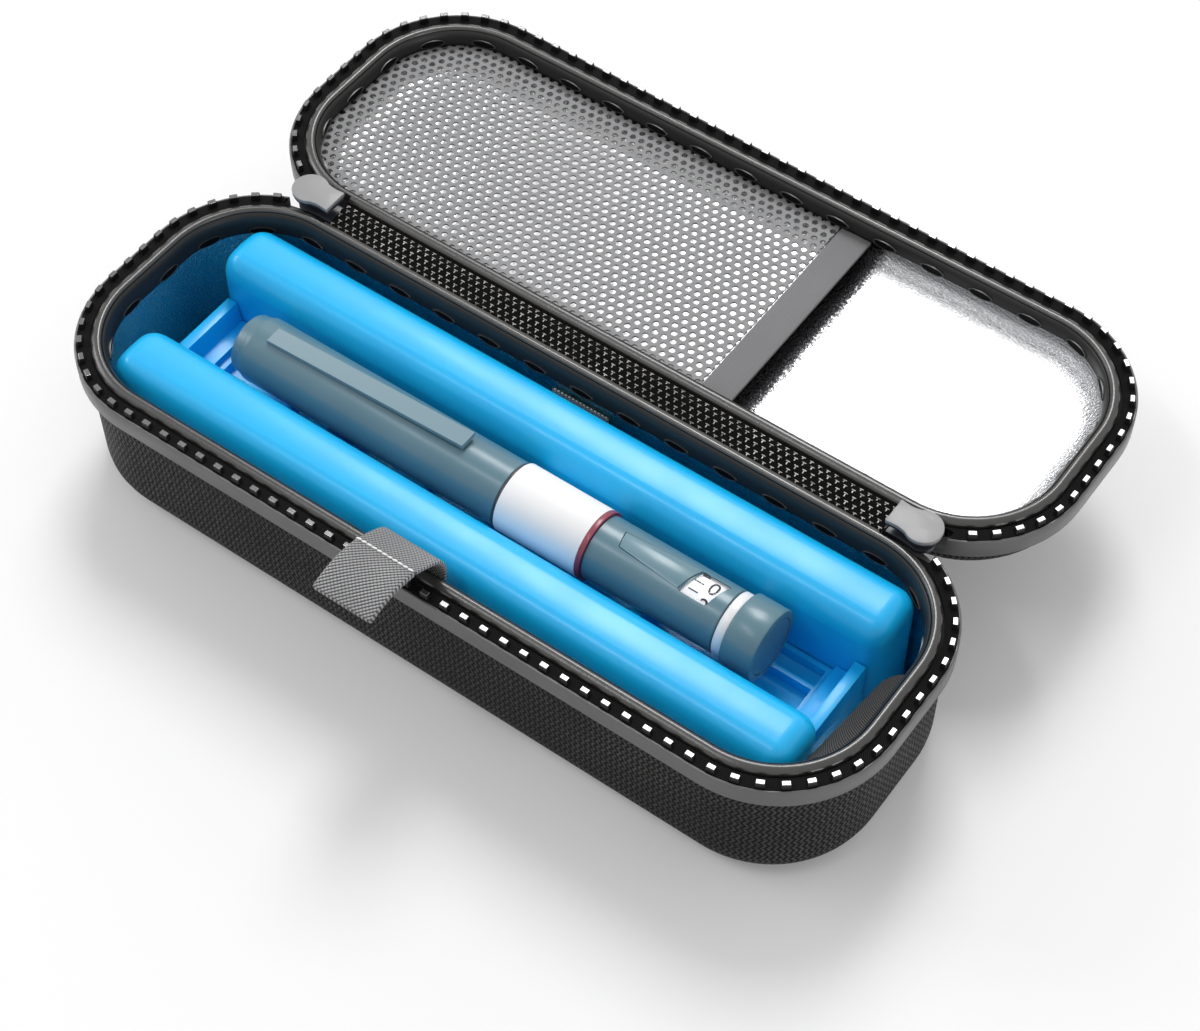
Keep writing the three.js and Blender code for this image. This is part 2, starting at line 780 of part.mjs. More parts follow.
function trayBridge() {
  const whole = block(
    -bridgeHalfLength, bridgeHalfLength, -bridgeHalfWidth, bridgeHalfWidth, shellBottom, bridgeLipTop);
  const under = block(
    -bridgeHalfLength + bridgeLip, bridgeHalfLength - bridgeLip, -bridgeHollowHalf, bridgeHollowHalf,
    shellBottom - overrun, bridgeHollowTop);
  const ribbed = whole.subtract(troughCut()).subtract(joinAll(floorPockets())).subtract(under);
  return surface(joinAll([ribbed, ...saddleShares.map((share) => saddle(share * floorReach))]));
}

function trayPlate() {
  const loop = (z) => roundedLoop(
    trayHalfLength - trayBottomRound, trayHalfWidth - trayBottomRound, trayCorner, z, trayCornerSteps);
  return loft([loop(trayBottom), loop(trayBottom + trayPlateThick)], false);
}

const gelGap = trayWall + seat;

function bolsterGel() {
  return loft(bolsterLoops(gelGap, shellBottom + seat, trayTopRound - gelGap, 0), false);
}

function bridgeGel() {
  const reach = bridgeHalfLength - bridgeLip - seat;
  const half = bridgeHollowHalf - seat;
  return surface(block(-reach, reach, -half, half, shellBottom + seat, bridgeHollowTop - seat));
}

place('bolster_rear', bolster(), looks.tray);
place('bolster_front', bolster(), looks.tray).rotation.z = turn / 2;
place('tray_bridge', trayBridge(), looks.tray);
place('tray_base_plate', trayPlate(), looks.trayPlate);
place('gel_rear', bolsterGel(), looks.gel);
place('gel_front', bolsterGel(), looks.gel).rotation.z = turn / 2;
place('gel_bridge', bridgeGel(), looks.gel);

// Pen, laid along X in the tray
const pen = new THREE.Group();
pen.position.z = penZ;
object.add(pen);

const labelRadius = penRadius - labelDepth;
const holderEnd = bulkheadStart - seat;

function windowPlan(grow) {
  const half = windowHalfWidth + grow;
  const end = windowStart + windowLength;
  return [
    [windowStart - windowSkew - grow, -half], [end - windowSkew + grow, -half],
    [end + windowSkew + grow, half], [windowStart + windowSkew - grow, half],
  ];
}

function prism(plan, bottom, top) {
  const shape = new THREE.Shape(plan.map(([x, y]) => new THREE.Vector2(x, y)));
  const geometry = new THREE.ExtrudeGeometry(shape, { depth: top - bottom, bevelEnabled: false });
  return solid(geometry.translate(0, 0, bottom));
}

function barrel() {
  const whole = solid(turned([
    [neckStart, neckRadius], [capMouth + seat, neckRadius], [capMouth + seat, labelRadius],
    [bandEnd + seat, labelRadius], [bandEnd + seat, penRadius], [barrelEnd, penRadius],
    [barrelEnd, barrelBore], [bulkheadStart + bulkhead, barrelBore],
    [bulkheadStart + bulkhead, rodRadius + seat], [bulkheadStart, rodRadius + seat],
    [bulkheadStart, neckRadius - neckWall], [neckStart, neckRadius - neckWall], [neckStart, neckRadius],
  ]));
  const opening = prism(windowPlan(0), 0, penRadius + overrun);
  const panelStart = bandEnd + panelGap;
  const panelEnd = windowStart + windowLength / 2;
  const panel = prism([
    [panelStart + windowSkew, -panelHalfWidth], [panelEnd - windowSkew, -windowHalfWidth],
    [panelEnd + windowSkew, windowHalfWidth], [panelStart, panelHalfWidth],
  ], 0, penRadius + overrun);
  const core = solid(roundBar(panelStart - overrun, panelEnd + overrun, penRadius - panelDepth));
  return surface(whole.subtract(opening).subtract(panel.subtract(core)));
}

function windowLens() {
  const wall = solid(tube(windowStart - overrun, windowStart + windowLength + overrun, penRadius - panelDepth,
    barrelBore + seat / 2));
  return surface(wall.intersect(prism(windowPlan(-seat), 0, penRadius + overrun)));
}

function cartridgeHolder() {
  const bore = holderRadius - holderWall;
  const mouth = nozzleRadius - holderWall;
  const shoulder = holderStart + holderWall;
  return turned([
    [holderStart - nozzleLength, nozzleRadius], [holderStart, nozzleRadius],
    [holderStart, holderRadius], [holderEnd, holderRadius], [holderEnd, bore], [shoulder, bore],
    [shoulder, mouth], [holderStart - nozzleLength, mouth], [holderStart - nozzleLength, nozzleRadius],
  ]);
}

const glassStart = holderStart + holderWall + seat;
const glassEnd = holderEnd - seat;

function glassCartridge() {
  const bore = glassRadius - glassWall;
  const neckBore = glassNeck / 2;
  return turned([
    [glassStart - glassNeckLength, glassNeck], [glassStart, glassNeck], [glassStart, glassRadius],
    [glassEnd, glassRadius], [glassEnd, bore], [glassStart + glassWall, bore],
    [glassStart + glassWall, neckBore], [glassStart - glassNeckLength, neckBore],
    [glassStart - glassNeckLength, glassNeck],
  ]);
}

const crimpEnd = glassStart - glassNeckLength - seat;
const plungerEnd = glassEnd - plungerLength - plungerGap;
const rodStart = plungerEnd + plungerLength + seat;

function pistonRod() {
  const rodEnd = buttonStart - buttonStem - rodGap;
  return turned([
    [rodStart, 0], [rodStart, rodFootRadius], [rodStart + rodFootLength, rodFootRadius],
    [rodStart + rodFootLength, rodRadius], [rodEnd, rodRadius], [rodEnd, 0],
  ]);
}

function penCap() {
  const bore = penRadius - capWall;
  return turned([
    [capEnd, 0], [capEnd, penRadius - capNose], [capEnd + capChamfer, penRadius], [capMouth, penRadius],
    [capMouth, bore], [capEnd + capChamfer + capWall, bore], [capEnd + capChamfer, bore - capWall],
    [capEnd + capChamfer, 0],
  ]);
}

function capClip() {
  const bottom = penRadius + clipLift;
  const half = clipWidth / 2;
  const plate = block(clipStart, clipEnd, -half, half, bottom, bottom + clipThick);
  const root = block(clipStart, clipStart + clipRoot, -half, half, 0, bottom + clipThick);
  const bump = block(clipEnd - clipBump, clipEnd, -half, half, 0, bottom + clipThick / 2);
  const rest = solid(roundBar(clipStart - overrun, clipEnd + overrun, penRadius + seat));
  return surface(joinAll([plate, root, bump]).subtract(rest));
}

const collarStart = barrelEnd + seat;
const collarEnd = collarStart + collarLength;
const knobStart = collarEnd + seat;
const knobEnd = knobStart + knobLength;
const sleeveEnd = knobStart + sleeveOverlap;
const drumEnd = collarEnd;
const knobBore = sleeveRadius + seat;
const recessStart = knobEnd - buttonThick - buttonTravel - seat;
const buttonStart = knobEnd - buttonThick;
const stemRadius = sleeveRadius - sleeveWall - seat;

function numberDrum() {
  return tube(drumStart, drumEnd, drumRadius, drumRadius - drumWall);
}

function doseCollar() {
  return tube(collarStart, collarEnd, collarRadius, drumRadius + seat);
}

// Knob with a bore for the sleeve and a recess for the button
function doseKnob() {
  return turned([
    [knobStart, knobBore], [knobStart, knobRadius - knobEdge], [knobStart + knobEdge, knobRadius],
    [knobEnd - knobEdge, knobRadius], [knobEnd, knobRadius - knobEdge], [knobEnd, buttonRadius + seat],
    [recessStart, buttonRadius + seat], [recessStart, knobBore], [knobStart, knobBore],
  ]);
}

function injectionButton() {
  return turned([
    [buttonStart - buttonStem, 0], [buttonStart - buttonStem, stemRadius], [buttonStart, stemRadius],
    [buttonStart, buttonRadius], [knobEnd - knobEdge, buttonRadius], [knobEnd, buttonRadius - knobEdge],
    [knobEnd, 0],
  ]);
}

const wrapIn = labelRadius + seat;
const wrapOut = wrapIn + labelThick;
const sealRadius = nozzleRadius - holderWall - seat;
const plungerRadius = glassRadius - glassWall - seat;
const sleeveBore = sleeveRadius - sleeveWall;

place('pen_barrel', barrel(), looks.pen, pen);
place('pen_label', tube(capMouth + seat, labelEnd, wrapOut, wrapIn), looks.label, pen);
place('pen_red_band', tube(labelEnd + seat, bandEnd, wrapOut, wrapIn), looks.redBand, pen);
place('dose_window', windowLens(), looks.window, pen);
place('cartridge_holder', cartridgeHolder(), looks.clear, pen);
place('glass_cartridge', glassCartridge(), looks.clear, pen);
place('crimp_seal', roundBar(crimpEnd - crimpLength, crimpEnd, sealRadius), looks.crimp, pen);
place('rubber_plunger', roundBar(plungerEnd, plungerEnd + plungerLength, plungerRadius), looks.rubber, pen);
place('piston_rod', pistonRod(), looks.inner, pen);
place('clutch_sleeve', tube(sleeveStart, sleeveEnd, sleeveRadius, sleeveBore), looks.inner, pen);
place('number_drum', numberDrum(), looks.drum, pen);
place('dose_collar', doseCollar(), looks.collar, pen);
place('dose_knob', doseKnob(), looks.pen, pen);
place('injection_button', injectionButton(), looks.pen, pen);
place('pen_cap', penCap(), looks.pen, pen);
place('cap_clip', capClip(), looks.pen, pen);

// Lift strap under the tray, with its pull tab over the front rim

function liftStrap() {
  const low = floorTop + seat + strapThick / 2;
  const front = -strapInset + strapThick / 2;
  const rear = strapInset - strapThick / 2;
  const line = [[front, strapRise]];
  for (let i = 0; i <= roundSteps; i += 1) {
    const angle = (i / roundSteps) * turn / 4;
    line.push([front + strapBend * (1 - Math.cos(angle)), low + strapBend * (1 - Math.sin(angle))]);
  }
  for (let i = roundSteps; i >= 0; i -= 1) {
    const angle = (i / roundSteps) * turn / 4;
    line.push([rear - strapBend * (1 - Math.cos(angle)), low + strapBend * (1 - Math.sin(angle))]);
  }
  line.push([rear, strapRearRise]);
  return ribbon(line, strapThick, strapWidth);
}

// Crest of the tab over the rim, from the strap's end out to the folded tail
const tabShares = [[0.936, 0], [0.922, 0.28], [0.937, 0.46], [0.984, 0.6], [1.096, 0.74], [1.219, 0.916]];
const tailShares = [[1.219, 0.916], [1.353, 0.98], [1.479, 1], [1.586, 0.968], [1.7, 0.9]];

const tabLine = (shares) => shares.map(([out, up]) => [
  -out * (caseWidth / 2 - foamIn), strapRise + seat + up * tabRise]);

function pullTab() {
  const arch = solid(ribbon(tabLine(tabShares), tabThick, strapWidth));
  const tail = solid(ribbon(tabLine(tailShares), tailThick, strapWidth));
  return surface(arch.add(tail));
}

place('lift_strap', liftStrap(), looks.strap);
place('pull_tab', pullTab(), looks.strap);

// Woven tag sewn under the binding at the right end; its foot is straight and leans in.
function labelTag() {
  const top = rimHeight - tagTop;
  const radius = caseCorner - bindingIn - seat;
  const start = tagStartShare * caseWidth / 2;
  const end = tagEndShare * caseWidth / 2;
  const wallAt = (y) => {
    const past = Math.max(Math.abs(y) - (caseWidth / 2 - caseCorner), 0);
    return caseLength / 2 - caseCorner + Math.sqrt(radius ** 2 - past ** 2);
  };
  const footAt = (y, share) => trayHalfLength + share * (wallAt(y) - tagThick - trayHalfLength);
  const footStart = footAt(start, tagFootStartShare);
  const footEnd = footAt(end, tagFootEndShare);
  const loops = [];
  for (let i = 0; i <= cornerSteps; i += 1) {
    const share = i / cornerSteps;
    const y = start + (end - start) * share;
    const wall = wallAt(y);
    const foot = footStart + (footEnd - footStart) * share;
    loops.push([
      new THREE.Vector3(wall, y, top),
      new THREE.Vector3(wall - tagThick, y, top),
      new THREE.Vector3(foot, y, top - tagHeight),
      new THREE.Vector3(foot + tagThick, y, top - tagHeight),
    ]);
  }
  return loft(loops, false);
}

place('label_tag', labelTag(), looks.tag);

export default object;
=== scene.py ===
import contextlib
import math

import bmesh
import bpy
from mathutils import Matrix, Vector

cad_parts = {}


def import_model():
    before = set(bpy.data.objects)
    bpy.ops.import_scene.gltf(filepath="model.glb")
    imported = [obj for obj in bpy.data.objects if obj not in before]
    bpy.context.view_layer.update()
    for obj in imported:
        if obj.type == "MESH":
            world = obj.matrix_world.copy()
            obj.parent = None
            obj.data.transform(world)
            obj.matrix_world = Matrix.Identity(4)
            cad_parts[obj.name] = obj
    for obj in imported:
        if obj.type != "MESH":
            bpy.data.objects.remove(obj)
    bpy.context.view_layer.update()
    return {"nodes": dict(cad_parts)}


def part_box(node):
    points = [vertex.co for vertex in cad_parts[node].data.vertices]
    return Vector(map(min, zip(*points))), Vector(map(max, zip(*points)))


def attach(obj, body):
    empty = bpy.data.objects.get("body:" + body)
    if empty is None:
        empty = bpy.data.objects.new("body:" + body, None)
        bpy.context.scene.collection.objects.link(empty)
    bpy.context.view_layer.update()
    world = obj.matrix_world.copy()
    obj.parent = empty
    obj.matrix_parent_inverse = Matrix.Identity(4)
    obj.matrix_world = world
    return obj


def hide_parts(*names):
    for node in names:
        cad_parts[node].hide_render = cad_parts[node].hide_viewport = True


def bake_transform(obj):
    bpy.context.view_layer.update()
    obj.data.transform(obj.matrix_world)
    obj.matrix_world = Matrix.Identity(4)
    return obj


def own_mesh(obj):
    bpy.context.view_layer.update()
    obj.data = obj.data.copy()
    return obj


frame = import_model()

MM = 0.001

# ---- sizes, in millimetres

HALF_LENGTH = 115.5
HALF_WIDTH = 40.75
CORNER = 31.3
REACH_X, REACH_Y = HALF_LENGTH - CORNER, HALF_WIDTH - CORNER  # corner centres of every rim outline
CORNER_STEPS = 20
QUARTER = math.pi / 2

LID_BOTTOM = 28.0
LID_CENTRE = 81.8
WALL_TOP = 41.7
HINGE = Vector((0, 40.9, 44.15))

COVER_INSET, COVER_THICK = 2.5, 0.9
FOAM_INSET, FOAM_THICK, FOAM_LIFT = 3.7, 3.2, 1.2
FOIL_INSET, FOIL_THICK = 7.2, 0.6

SLIDER_START = 82.9
SLIDER_HEAD = 91.1
SWING_RADIUS, SWING_WIDTH, SWING_CENTRE = 5.65, 13.7, 89.45

TOOTH_PITCH = 5.6
TOOTH_LINE = 1.6
TOOTH_HALF = (1.22, 0.76)
TOOTH_TAPER = (0.84, 0.78)
TOOTH_LOW, TOOTH_HIGH = 42.2, 44.35

STITCH_PITCH = 14.0
STITCH_LINE = 8.18
STITCH_FLATTENED = 0.34

NET_END = 22.0
NET_INSET = 7.9
NET_PITCH = 2.7
NET_HOLE = 0.87
NET_HIGH = 38.2
NET_THICK = 0.45
NET_COLUMNS, NET_ROWS = 52, 13

BOLSTER_LENGTH, BOLSTER_NEAR, BOLSTER_FAR = 99.0, 11.66, 29.7
BOLSTER_LOW, BOLSTER_HIGH = 8.0, 41.5
BOLSTER_CORNER, BOLSTER_EDGE = 5.5, 5.4
BOLSTER_CROWN, CROWN_FROM, CROWN_RUN = 1.6, 28.0, 10.0

WEBBING_WIDTH = 16.7
TAB_SEAM = -41.3

PEN_Z = 34.54
CAP_RADIUS = 8.65
BARREL_RADIUS = 8.3
LABEL_RADIUS, LABEL_BORE = 9.05, 8.1
KNOB_RADIUS = 9.35
NUMBER_RADIUS = 7.33

# ---- camera and lamps


def linked(name, data):
    made = bpy.data.objects.new(name, data)
    bpy.context.scene.collection.objects.link(made)
    return made


def place_camera():
    forward = Vector((-0.348, 0.480, -0.805)).normalized()
    data = bpy.data.cameras.new("photo_camera")
    data.sensor_width = 36
    data.lens = 77.58
    data.clip_end = 20
    camera = linked("photo_camera", data)
    camera.matrix_world = forward.to_track_quat("-Z", "Y").to_matrix().to_4x4()
    camera.location = Vector((0.23605, -0.28554, 0.5256))
    camera.rotation_mode = "XYZ"
    camera.rotation_euler.rotate_axis("Z", math.radians(-0.166))
    bpy.context.scene.camera = camera


def area_lamp(name, place, target, size, power):
    data = bpy.data.lights.new(name, "AREA")
    data.shape = "RECTANGLE"
    data.size, data.size_y = size
    data.energy = power
    lamp = linked(name, data)
    lamp.location = place
    lamp.rotation_euler = (Vector(target) - Vector(place)).to_track_quat("-Z", "Y").to_euler()


# ---- node helpers


class Signal:
    """Output of a shader node, for use in ordinary sums."""

    def __init__(self, socket):
        self.socket = socket
        self.tree = socket.id_data

    def maths(self, operation, *others, first=None):
        made = node(self.tree, "ShaderNodeMath", operation=operation)
        values = (self,) + others if first is None else (first, self)
        set_inputs(made, dict(enumerate(values)))
        return Signal(made.outputs[0])

    def __add__(self, other):
        return self.maths("ADD", other)

    def __sub__(self, other):
        return self.maths("SUBTRACT", other)

    def __rsub__(self, other):
        return self.maths("SUBTRACT", first=other)

    def __mul__(self, other):
        return self.maths("MULTIPLY", other)

    def __truediv__(self, other):
        return self.maths("DIVIDE", other)

    def __rtruediv__(self, other):
        return self.maths("DIVIDE", first=other)


def set_inputs(made, values):
    """Links signals to the inputs of a node, and sets the others to plain values."""
    for name, value in values.items():
        if isinstance(value, Signal):
            value.tree.links.new(value.socket, made.inputs[name])
        else:
            made.inputs[name].default_value = value


def node(tree, kind, inputs=None, **settings):
    made = tree.nodes.new(kind)
    for name, value in settings.items():
        setattr(made, name, value)
    set_inputs(made, inputs or {})
    return made


def fade(value, low, high, start=0.0, end=1.0):
    made = node(value.tree, "ShaderNodeMapRange", {
        "Value": value, "From Min": low, "From Max": high, "To Min": start, "To Max": end},
        interpolation_type="SMOOTHSTEP")
    return Signal(made.outputs["Result"])


def blend_colour(factor, first, second):
    made = node(factor.tree, "ShaderNodeMix", data_type="RGBA")
    set_inputs(made, {0: factor, 6: first, 7: second})
    return Signal(made.outputs[2])


def axes(place):
    made = node(place.tree, "ShaderNodeSeparateXYZ", {0: place})
    return [Signal(output) for output in made.outputs]


def noise(place, scale, detail, **more):
    made = node(place.tree, "ShaderNodeTexNoise", {
        "Vector": place, "Scale": scale, "Detail": detail, **more})
    return Signal(made.outputs["Fac"])


def arch(value):
    """Half a sine wave over each unit of the value."""
    return (value.maths("FRACT") * math.pi).maths("SINE")


def ripple(value, pitch):
    return (value * (2 * math.pi / pitch)).maths("SINE")


def new_group(name, sizes, results):
    """Node group that takes a place and sizes. Returns its tree, its inputs and its output node."""
    tree = bpy.data.node_groups.new(name, "ShaderNodeTree")
    tree.interface.new_socket("Vector", in_out="INPUT", socket_type="NodeSocketVector")
    for label in sizes:
        tree.interface.new_socket(label, in_out="INPUT", socket_type="NodeSocketFloat")
    for label in results:
        tree.interface.new_socket(label, in_out="OUTPUT", socket_type="NodeSocketFloat")
    sources = node(tree, "NodeGroupInput").outputs
    given = [Signal(sources[label]) for label in ("Vector",) + sizes]
    return tree, given, node(tree, "NodeGroupOutput")


def zigzag_weave():
    """Columns of thread that sway from side to side, stitch by stitch."""
    tree, (place, column, wave, sway), result = new_group(
        "Zigzag weave", ("Column", "Wave", "Sway"), ("Height", "Thread"))
    across, along, _ = axes(place)
    half = wave * 0.5
    swing = along.maths("PINGPONG", half) / half
    ridge = arch(across / column + swing * sway)
    wobble = noise(place, 900.0, 2.0)
    ply = ripple(along, 0.00046) * 0.16 + 0.84
    worn = fade(wobble, 0.35, 0.65, 0.45, 1.0)
    set_inputs(result, {
        "Height": ridge * ply + wobble * 0.25, "Thread": fade(ridge, 0.45, 0.95) * worn})
    return tree


def twill_weave():
    """Fine diagonal ribs of webbing, each made of short crossing threads."""
    tree, (place, rib), result = new_group("Twill weave", ("Rib",), ("Height", "Thread"))
    across, along, _ = axes(place)
    pick_thread = arch((across - along) / rib)
    body = arch((across + along) / rib) * (pick_thread * 0.55 + 0.45)
    fuzz = noise(place, 1400.0, 3.0)
    set_inputs(result, {"Height": body + fuzz * 0.3, "Thread": fade(body, 0.15, 0.8)})
    return tree


def surface_grain():
    """Fine moulded or woven grain with slow patches, for the small changes of gloss and tone."""
    tree, (place, grain, patch), result = new_group(
        "Surface grain", ("Grain", "Patch"), ("Height", "Patches"))
    set_inputs(result, {
        "Height": noise(place, 1.0 / grain, 3.0, Roughness=0.6),
        "Patches": fade(noise(place, 1.0 / patch, 2.0), 0.3, 0.7)})
    return tree


def foil_crinkle():
    """Small sharp dents of a laminated film over slow waves."""
    tree, (place, dent, wave), result = new_group(
        "Foil crinkle", ("Dent", "Wave"), ("Height", "Waves"))
    set_inputs(result, {
        "Height": noise(place, 1.0 / dent, 2.5, Roughness=0.55, Distortion=0.4),
        "Waves": noise(place, 1.0 / wave, 2.0)})
    return tree


def fleck_weave():
    """Pale T-shaped threads in staggered cells on a dark ground, for the hinge strip."""
    tree, (place, cell, line), result = new_group(
        "Fleck weave", ("Cell", "Row"), ("Height", "Thread"))
    across, along, _ = axes(place)
    row = along / line
    up = row.maths("FRACT")
    stagger = row.maths("FLOOR") * 0.5
    off = ((across / cell + stagger).maths("FRACT") - 0.5).maths("ABSOLUTE")
    stem = fade(off, 0.045, 0.085, 1.0, 0.0) * fade(up, 0.68, 0.74, 1.0, 0.0)
    stem = stem * fade(up, 0.26, 0.34)
    bar_off = (up - 0.84).maths("ABSOLUTE")
    bar = fade(bar_off, 0.05, 0.09, 1.0, 0.0) * fade(off, 0.21, 0.27, 1.0, 0.0)
    thread = stem.maths("MAXIMUM", bar)
    fuzz = noise(place, 1100.0, 3.0)
    set_inputs(result, {
        "Height": thread + ripple(across, 0.0007) * 0.2 + fuzz * 0.4,
        "Thread": thread * fade(fuzz, 0.35, 0.6, 0.35, 1.0)})
    return tree


GROUPS = {
    "zigzag": zigzag_weave(),
    "twill": twill_weave(),
    "grain": surface_grain(),
    "crinkle": foil_crinkle(),
    "fleck": fleck_weave(),
}

# ---- materials


def new_material(name):
    made = bpy.data.materials.new(name)
    made.use_nodes = True
    return made, made.node_tree, made.node_tree.nodes["Principled BSDF"]


def grouped(group, place, **sizes):
    made = node(place.tree, "ShaderNodeGroup", node_tree=GROUPS[group])
    set_inputs(made, {"Vector": place, **sizes})
    return {output.name: Signal(output) for output in made.outputs}


def run_uv(tree):
    return Signal(node(tree, "ShaderNodeUVMap", uv_map="Run").outputs["UV"])


def object_place(tree):
    return Signal(node(tree, "ShaderNodeTexCoord").outputs["Object"])


def bump(height, distance, strength=1.0):
    made = node(height.tree, "ShaderNodeBump", {
        "Height": height, "Strength": strength, "Distance": distance})
    return Signal(made.outputs["Normal"])


def rgba(tone):
    return (*tone, 1.0)


def grey(tone):
    return (tone, tone, tone)


def join_shaders(tree, kind, first, second, inputs=None):
    """Mixes or adds the outputs of two shader nodes and makes that the surface."""
    both = node(tree, kind, inputs)
    tree.links.new(first.outputs[0], both.inputs[-2])
    tree.links.new(second.outputs[0], both.inputs[-1])
    tree.links.new(both.outputs[0], tree.nodes["Material Output"].inputs["Surface"])


def woven(name, weave, dark, light, depth, rough=0.85, gloss=0.2, fade_to=0.18, **sizes):
    """Cloth in one of the weaves, light threads on a dark ground, worn to one tone in patches."""
    made, tree, shader = new_material(name)
    out = grouped(weave, run_uv(tree), **sizes)
    patches = grouped("grain", object_place(tree), Grain=0.0003, Patch=0.03)["Patches"]
    tone = blend_colour(out["Thread"], rgba(dark), rgba(light))
    worn = rgba([d + fade_to * (c - d) for d, c in zip(dark, light)])
    set_inputs(shader, {
        "Base Color": blend_colour(patches * 0.5, tone, worn),
        "Roughness": fade(out["Thread"], 0, 1, rough + 0.08, rough - 0.12),
        "Specular IOR Level": gloss,
        "Normal": bump(out["Height"], depth)})
    return made


def plain(name, colour, rough, second=None, grain=0.0004, depth=0.00002, metallic=0.0, coat=0.0,
          coat_rough=0.1, gloss=0.5, subsurface=0.0, radius=None):
    """Moulded, enamelled or closely woven surface with a fine grain and slow patches."""
    spread = 0.03
    made, tree, shader = new_material(name)
    out = grouped("grain", object_place(tree), Grain=grain, Patch=0.02)
    tint = second or [c * 0.88 for c in colour]
    set_inputs(shader, {
        "Base Color": blend_colour(out["Patches"], rgba(colour), rgba(tint)),
        "Roughness": fade(out["Patches"], 0, 1, rough - spread, rough + spread),
        "Metallic": metallic,
        "Coat Weight": coat,
        "Coat Roughness": coat_rough,
        "Specular IOR Level": gloss,
        "Normal": bump(out["Height"], depth)})
    if subsurface:
        set_inputs(shader, {
            "Subsurface Weight": subsurface, "Subsurface Radius": radius, "Subsurface Scale": 1.0})
    return made


def foil_material(name, floor_tone, wall_tone, floor_level, painted_shade_strip=None):
    """Laminated foil: smooth floor, crinkled wall darkened by painted reflection, and a near-black
    strip of painted reflection and shade beside the pocket's tape.
    """
    made, tree, shader = new_material(name)
    place = object_place(tree)
    out = grouped("crinkle", place, Dent=0.0006, Wave=0.010)
    across, _, level = axes(place)
    rise = fade(level, (floor_level + 0.1) * MM, (floor_level + 1.6) * MM)
    # Painted reflection: the walls take a darker tone than the floor, as if they mirrored darker
    # surroundings, and slow waves draw patches toward that darker tone.
    tone = blend_colour(rise, rgba(floor_tone), rgba(wall_tone))
    tone = blend_colour(out["Waves"] * 0.3, tone, rgba(wall_tone))
    # Painted reflection and shade: beside the pocket's tape the foil is painted near black, for the
    # tape's dark underside mirrored in it and the shade under it. The strip's edge is made ragged by
    # the crinkle, and the foil under the net keeps its tone.
    if painted_shade_strip:
        start, end = (edge * MM for edge in painted_shade_strip)
        half_ragged = 2.5 * MM
        ragged = out["Height"] * (2 * half_ragged) + across
        flat = fade(ragged, start + half_ragged, end + half_ragged)
        under_net = fade(across, start - 7 * MM, start - 5 * MM, 1.0, 0.0)
        flat = flat.maths("MAXIMUM", under_net)
        tone = blend_colour(flat, rgba((0.030, 0.030, 0.032)), tone)
        rise = rise.maths("MAXIMUM", 1.0 - flat)
    set_inputs(shader, {
        "Base Color": tone,
        "Roughness": out["Waves"] * 0.06 + (rise * -0.17 + 0.26),
        "Metallic": 1.0,
        "Normal": bump(out["Waves"] * 0.8 + out["Height"], 0.0005, rise * 0.95 + 0.05)})
    return made


def clear_material(name, tint, rough):
    made, tree, shader = new_material(name)
    out = grouped("grain", object_place(tree), Grain=0.001, Patch=0.01)
    set_inputs(shader, {
        "Base Color": rgba(tint),
        "Roughness": fade(out["Patches"], 0, 1, rough, rough + 0.05),
        "Transmission Weight": 1.0,
        "IOR": 1.1,
        "Normal": bump(out["Height"], 0.000002)})
    return made


def net_material():
    """Thin cloth that lets part of the light through to its back."""
    made, tree, shader = new_material("net_cloth")
    out = grouped("grain", object_place(tree), Grain=0.0003, Patch=0.03)
    set_inputs(shader, {
        "Base Color": blend_colour(
            out["Patches"], rgba((0.28, 0.28, 0.285)), rgba((0.26, 0.26, 0.265))),
        "Roughness": 0.5,
        "Specular IOR Level": 0.3,
        "Normal": bump(out["Height"], 0.00002)})
    through = node(tree, "ShaderNodeBsdfTranslucent", {"Color": rgba(grey(0.9))})
    join_shaders(tree, "ShaderNodeMixShader", shader, through, {0: 0.15})
    return made


PEN_FINISH = dict(coat=0.25, coat_rough=0.2, grain=0.0005, depth=0.000008)
TOOTH_FINISH = dict(grain=0.0005, depth=0.000012)

